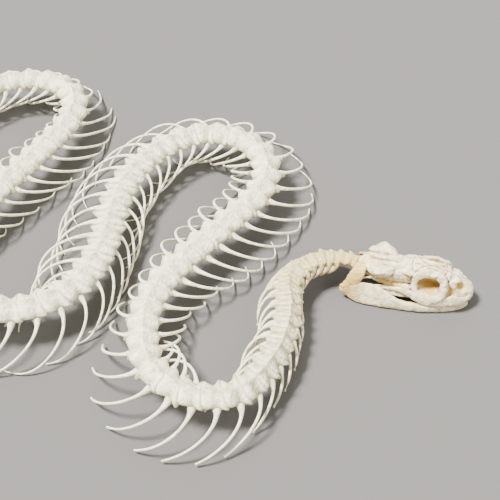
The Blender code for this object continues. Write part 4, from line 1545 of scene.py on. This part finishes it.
@dataclass
class Quadrate:
    """The blade on the side of the braincase that the lower jaw hangs from.

    Each row of a blade is rear, front, y and z. The left one stands further forward and in,
    because the joint of the left jaw does.
    """

    right_blade: Table = (
        (-2.2, 1.4, 2.6, 11.5), (-2.6, 1.5, 3.9, 11.5), (-2.9, 1.4, 5.0, 11.3), (-3.5, 1.2, 6.2, 10.7),
        (-4.2, 1.0, 7.2, 9.5), (-4.8, 0.3, 7.9, 8.0), (-5.6, -0.8, 8.4, 6.6), (-6.3, -2.9, 8.8, 5.3),
        (-6.4, -3.7, 8.9, 4.7))
    left_blade: Table = (
        (-1.2, 0.7, 3.0, 9.4), (-1.4, 0.8, 4.0, 8.8), (-1.9, 1.0, 4.9, 7.9), (-2.5, 0.9, 5.7, 7.0),
        (-3.0, 0.4, 6.5, 6.1), (-3.4, -0.9, 7.2, 5.0))
    right_knob: tuple[float, float, float] = (-5.4, 8.9, 5.1)
    left_knob: tuple[float, float, float] = (-2.2, 7.4, 5.1)
    knob_radii: tuple[float, float, float] = (1.2, 0.8, 0.75)
    strut: Table = (
        (5.4, 4.0, 7.6, 0.45, 0.4, 0.0), (3.0, 5.6, 8.2, 0.4, 0.35, 0.0), (-0.4, 7.3, 8.9, 0.4, 0.35, 0.0))
    thickness: float = 0.5
    cup: float = 0.25
    voxel: float = 0.2
    softening: int = 3

    def shape(self, side: float) -> Solid:
        """Grows the blade, the rod of the ear and the knob of the joint together.

        Args:
            side: 1 for the left and -1 for the right.

        Returns:
            The bone. The left one, which doesn't show, has no rod.
        """
        blade, knob = (self.left_blade, self.left_knob) if side > 0.0 else (self.right_blade, self.right_knob)
        x, y, z = knob
        parts = [sheet(blade, side, self.cup, self.thickness), ellipsoid((x, side * y, z), self.knob_radii)]
        if side < 0.0:
            parts.append(bar(self.strut, side, count=24, corners=10, squareness=2.0, taper=0.1))
        dents = [Dent((-0.4, side * 5.6, 10.4), 1.4, 0.0, 0.4)]
        return finished(fused(parts, self.voxel, self.softening), dents, tissue=0.9)


@dataclass
class Skull:
    """The skull at the head end of the course. Its own frame is x forward, y left and z up."""

    place: tuple[float, float] = (200.8, -22.4)
    heading: float = math.radians(-15.2)
    left_jaw_forward: float = 3.4
    left_jaw_inward: float = 1.5
    shift_front: float = 12.0
    shift_length: float = 18.0

    def set_in_place(self, solid: Solid) -> Solid:
        """Turns a bone by the heading and moves it to its place on the floor plan."""
        c, s = math.cos(self.heading), math.sin(self.heading)
        x, y, z = solid.points.T
        solid.points = np.stack([self.place[0] + c * x - s * y, self.place[1] + s * x + c * y, z], axis=1)
        return solid

    def shifted(self, solid: Solid) -> Solid:
        """Brings the rear of a left jaw bone forward and in, as the loose jaws of a snake can lie."""
        x, y, z = solid.points.T
        share = smooth((self.shift_front - x) / self.shift_length)
        x, y = x + self.left_jaw_forward * share, y - self.left_jaw_inward * share
        solid.points = np.stack([x, y, z], axis=1)
        return solid

    def build(self, workshop: Workshop) -> None:
        """Sets down the cranium and the bones of both sides.

        Args:
            workshop: what dresses the pieces and sets them down.
        """
        nodes = ["cranium", "eye_rim_left", "eye_rim_right"]
        solid = self.set_in_place(Cranium().shape())
        workshop.set_down("skull_cranium", solid, Slot.SKULL, nodes, 0)
        for name, side in (("left", 1.0), ("right", -1.0)):
            for label, bone in (("upper_jaw", UpperJaw()), ("palate", Palate()), ("lower_jaw", LowerJaw())):
                solid = bone.shape(side)
                if side > 0.0:
                    solid = self.shifted(solid)
                node = label + "_" + name
                workshop.set_down("skull_" + node, self.set_in_place(solid), Slot.SKULL, [node])
            node = "quadrate_" + name
            solid = self.set_in_place(Quadrate().shape(side))
            workshop.set_down("skull_" + node, solid, Slot.SKULL, [node], 0)


# ---------------------------------------------------------------- stage
@dataclass(frozen=True)
class Lamp:
    """A wide soft light from far off, so that it lights the whole floor evenly.

    The offset is where it stands as seen from the target, for its direction only. The width
    is how many degrees of the sky it takes up, and the strength is in watts on a square metre
    that faces it.
    """

    name: str
    offset: tuple[float, float, float]
    width: float
    strength: float


def looking(direction: np.ndarray) -> tuple[float, float, float]:
    """Turns of something that faces down until it faces along direction."""
    x, y, z = direction
    return (math.atan2(math.hypot(x, y), -z), 0.0, math.atan2(x, -y) + math.pi)


@dataclass
class Studio:
    """A pale floor, soft lights and the camera. Sizes and places in metres."""

    target: tuple[float, float, float] = (0.1624, -0.0077, 0.0)
    distance: float = 0.3675
    elevation: float = math.radians(45)
    lens: float = 75.6
    sensor: float = 36.0
    floor_size: float = 6.0
    floor_drop: float = 0.0001
    floor_colour: tuple[float, float, float, float] = (0.125, 0.119, 0.111, 1.0)
    floor_roughness: float = 0.9
    floor_gloss: float = 0.1
    sky_colour: tuple[float, float, float, float] = (1.0, 0.98, 0.94, 1.0)
    sky_strength: float = 0.48
    lamps: Sequence[Lamp] = (
        Lamp("key", (-0.34, -0.04, 0.65), 15.0, 14.5), Lamp("fill", (0.6, -0.5, 0.6), 45.0, 2.6),
        Lamp("back", (0.1, 0.8, 0.7), 32.0, 1.4))

    def build(self) -> None:
        """Sets up the floor, the lights, the surrounding light and the camera."""
        self.floor()
        for lamp in self.lamps:
            self.light(lamp)
        world = bpy.data.worlds.new("studio")
        world.use_nodes = True
        background = world.node_tree.nodes["Background"]
        background.inputs["Color"].default_value = self.sky_colour
        background.inputs["Strength"].default_value = self.sky_strength
        bpy.context.scene.world = world
        self.camera()

    def floor(self) -> None:
        """A wide plain sheet just under the bones."""
        half = 0.5 * self.floor_size
        x, y = np.meshgrid([-half, half], [-half, half])
        corners = np.stack([x.ravel(), y.ravel(), np.full(4, -self.floor_drop)], axis=1)
        mesh = mesh_of("floor", Solid(corners, np.array([[0, 1, 3, 2]]), np.zeros((0, 3), int)), scale=1.0)
        material = bpy.data.materials.new("floor_card")
        material.use_nodes = True
        shader = material.node_tree.nodes["Principled BSDF"]
        shader.inputs["Base Color"].default_value = self.floor_colour
        shader.inputs["Roughness"].default_value = self.floor_roughness
        shader.inputs["Specular IOR Level"].default_value = self.floor_gloss
        mesh.materials.append(material)
        floor = bpy.data.objects.new("floor", mesh)
        bpy.context.scene.collection.objects.link(floor)

    def light(self, lamp: Lamp) -> None:
        """Hangs a lamp, so that it faces the target."""
        data = bpy.data.lights.new(lamp.name, "SUN")
        data.angle = math.radians(lamp.width)
        data.energy = lamp.strength
        hung = bpy.data.objects.new(lamp.name, data)
        place = np.array(self.target) + np.array(lamp.offset)
        hung.location = place
        hung.rotation_euler = looking(np.array(self.target) - place)
        bpy.context.scene.collection.objects.link(hung)

    def camera(self) -> None:
        """The camera at the photograph's height and distance."""
        data = bpy.data.cameras.new("camera")
        data.lens = self.lens
        data.sensor_width = self.sensor
        data.clip_start = 0.01
        camera = bpy.data.objects.new("camera", data)
        back = np.array([0.0, -math.cos(self.elevation), math.sin(self.elevation)])
        camera.location = np.array(self.target) + self.distance * back
        camera.rotation_euler = (0.5 * math.pi - self.elevation, 0.0, 0.0)
        bpy.context.scene.collection.objects.link(camera)
        bpy.context.scene.camera = camera


def main() -> None:
    """Builds the pieces in order."""
    logging.basicConfig(level=logging.INFO, format="%(message)s")
    workshop = Workshop()
    workshop.prepare()
    course = Course()
    Body(course).build(workshop)
    Skull().build(workshop)
    Studio().build()


if __name__ == "__main__":
    main()
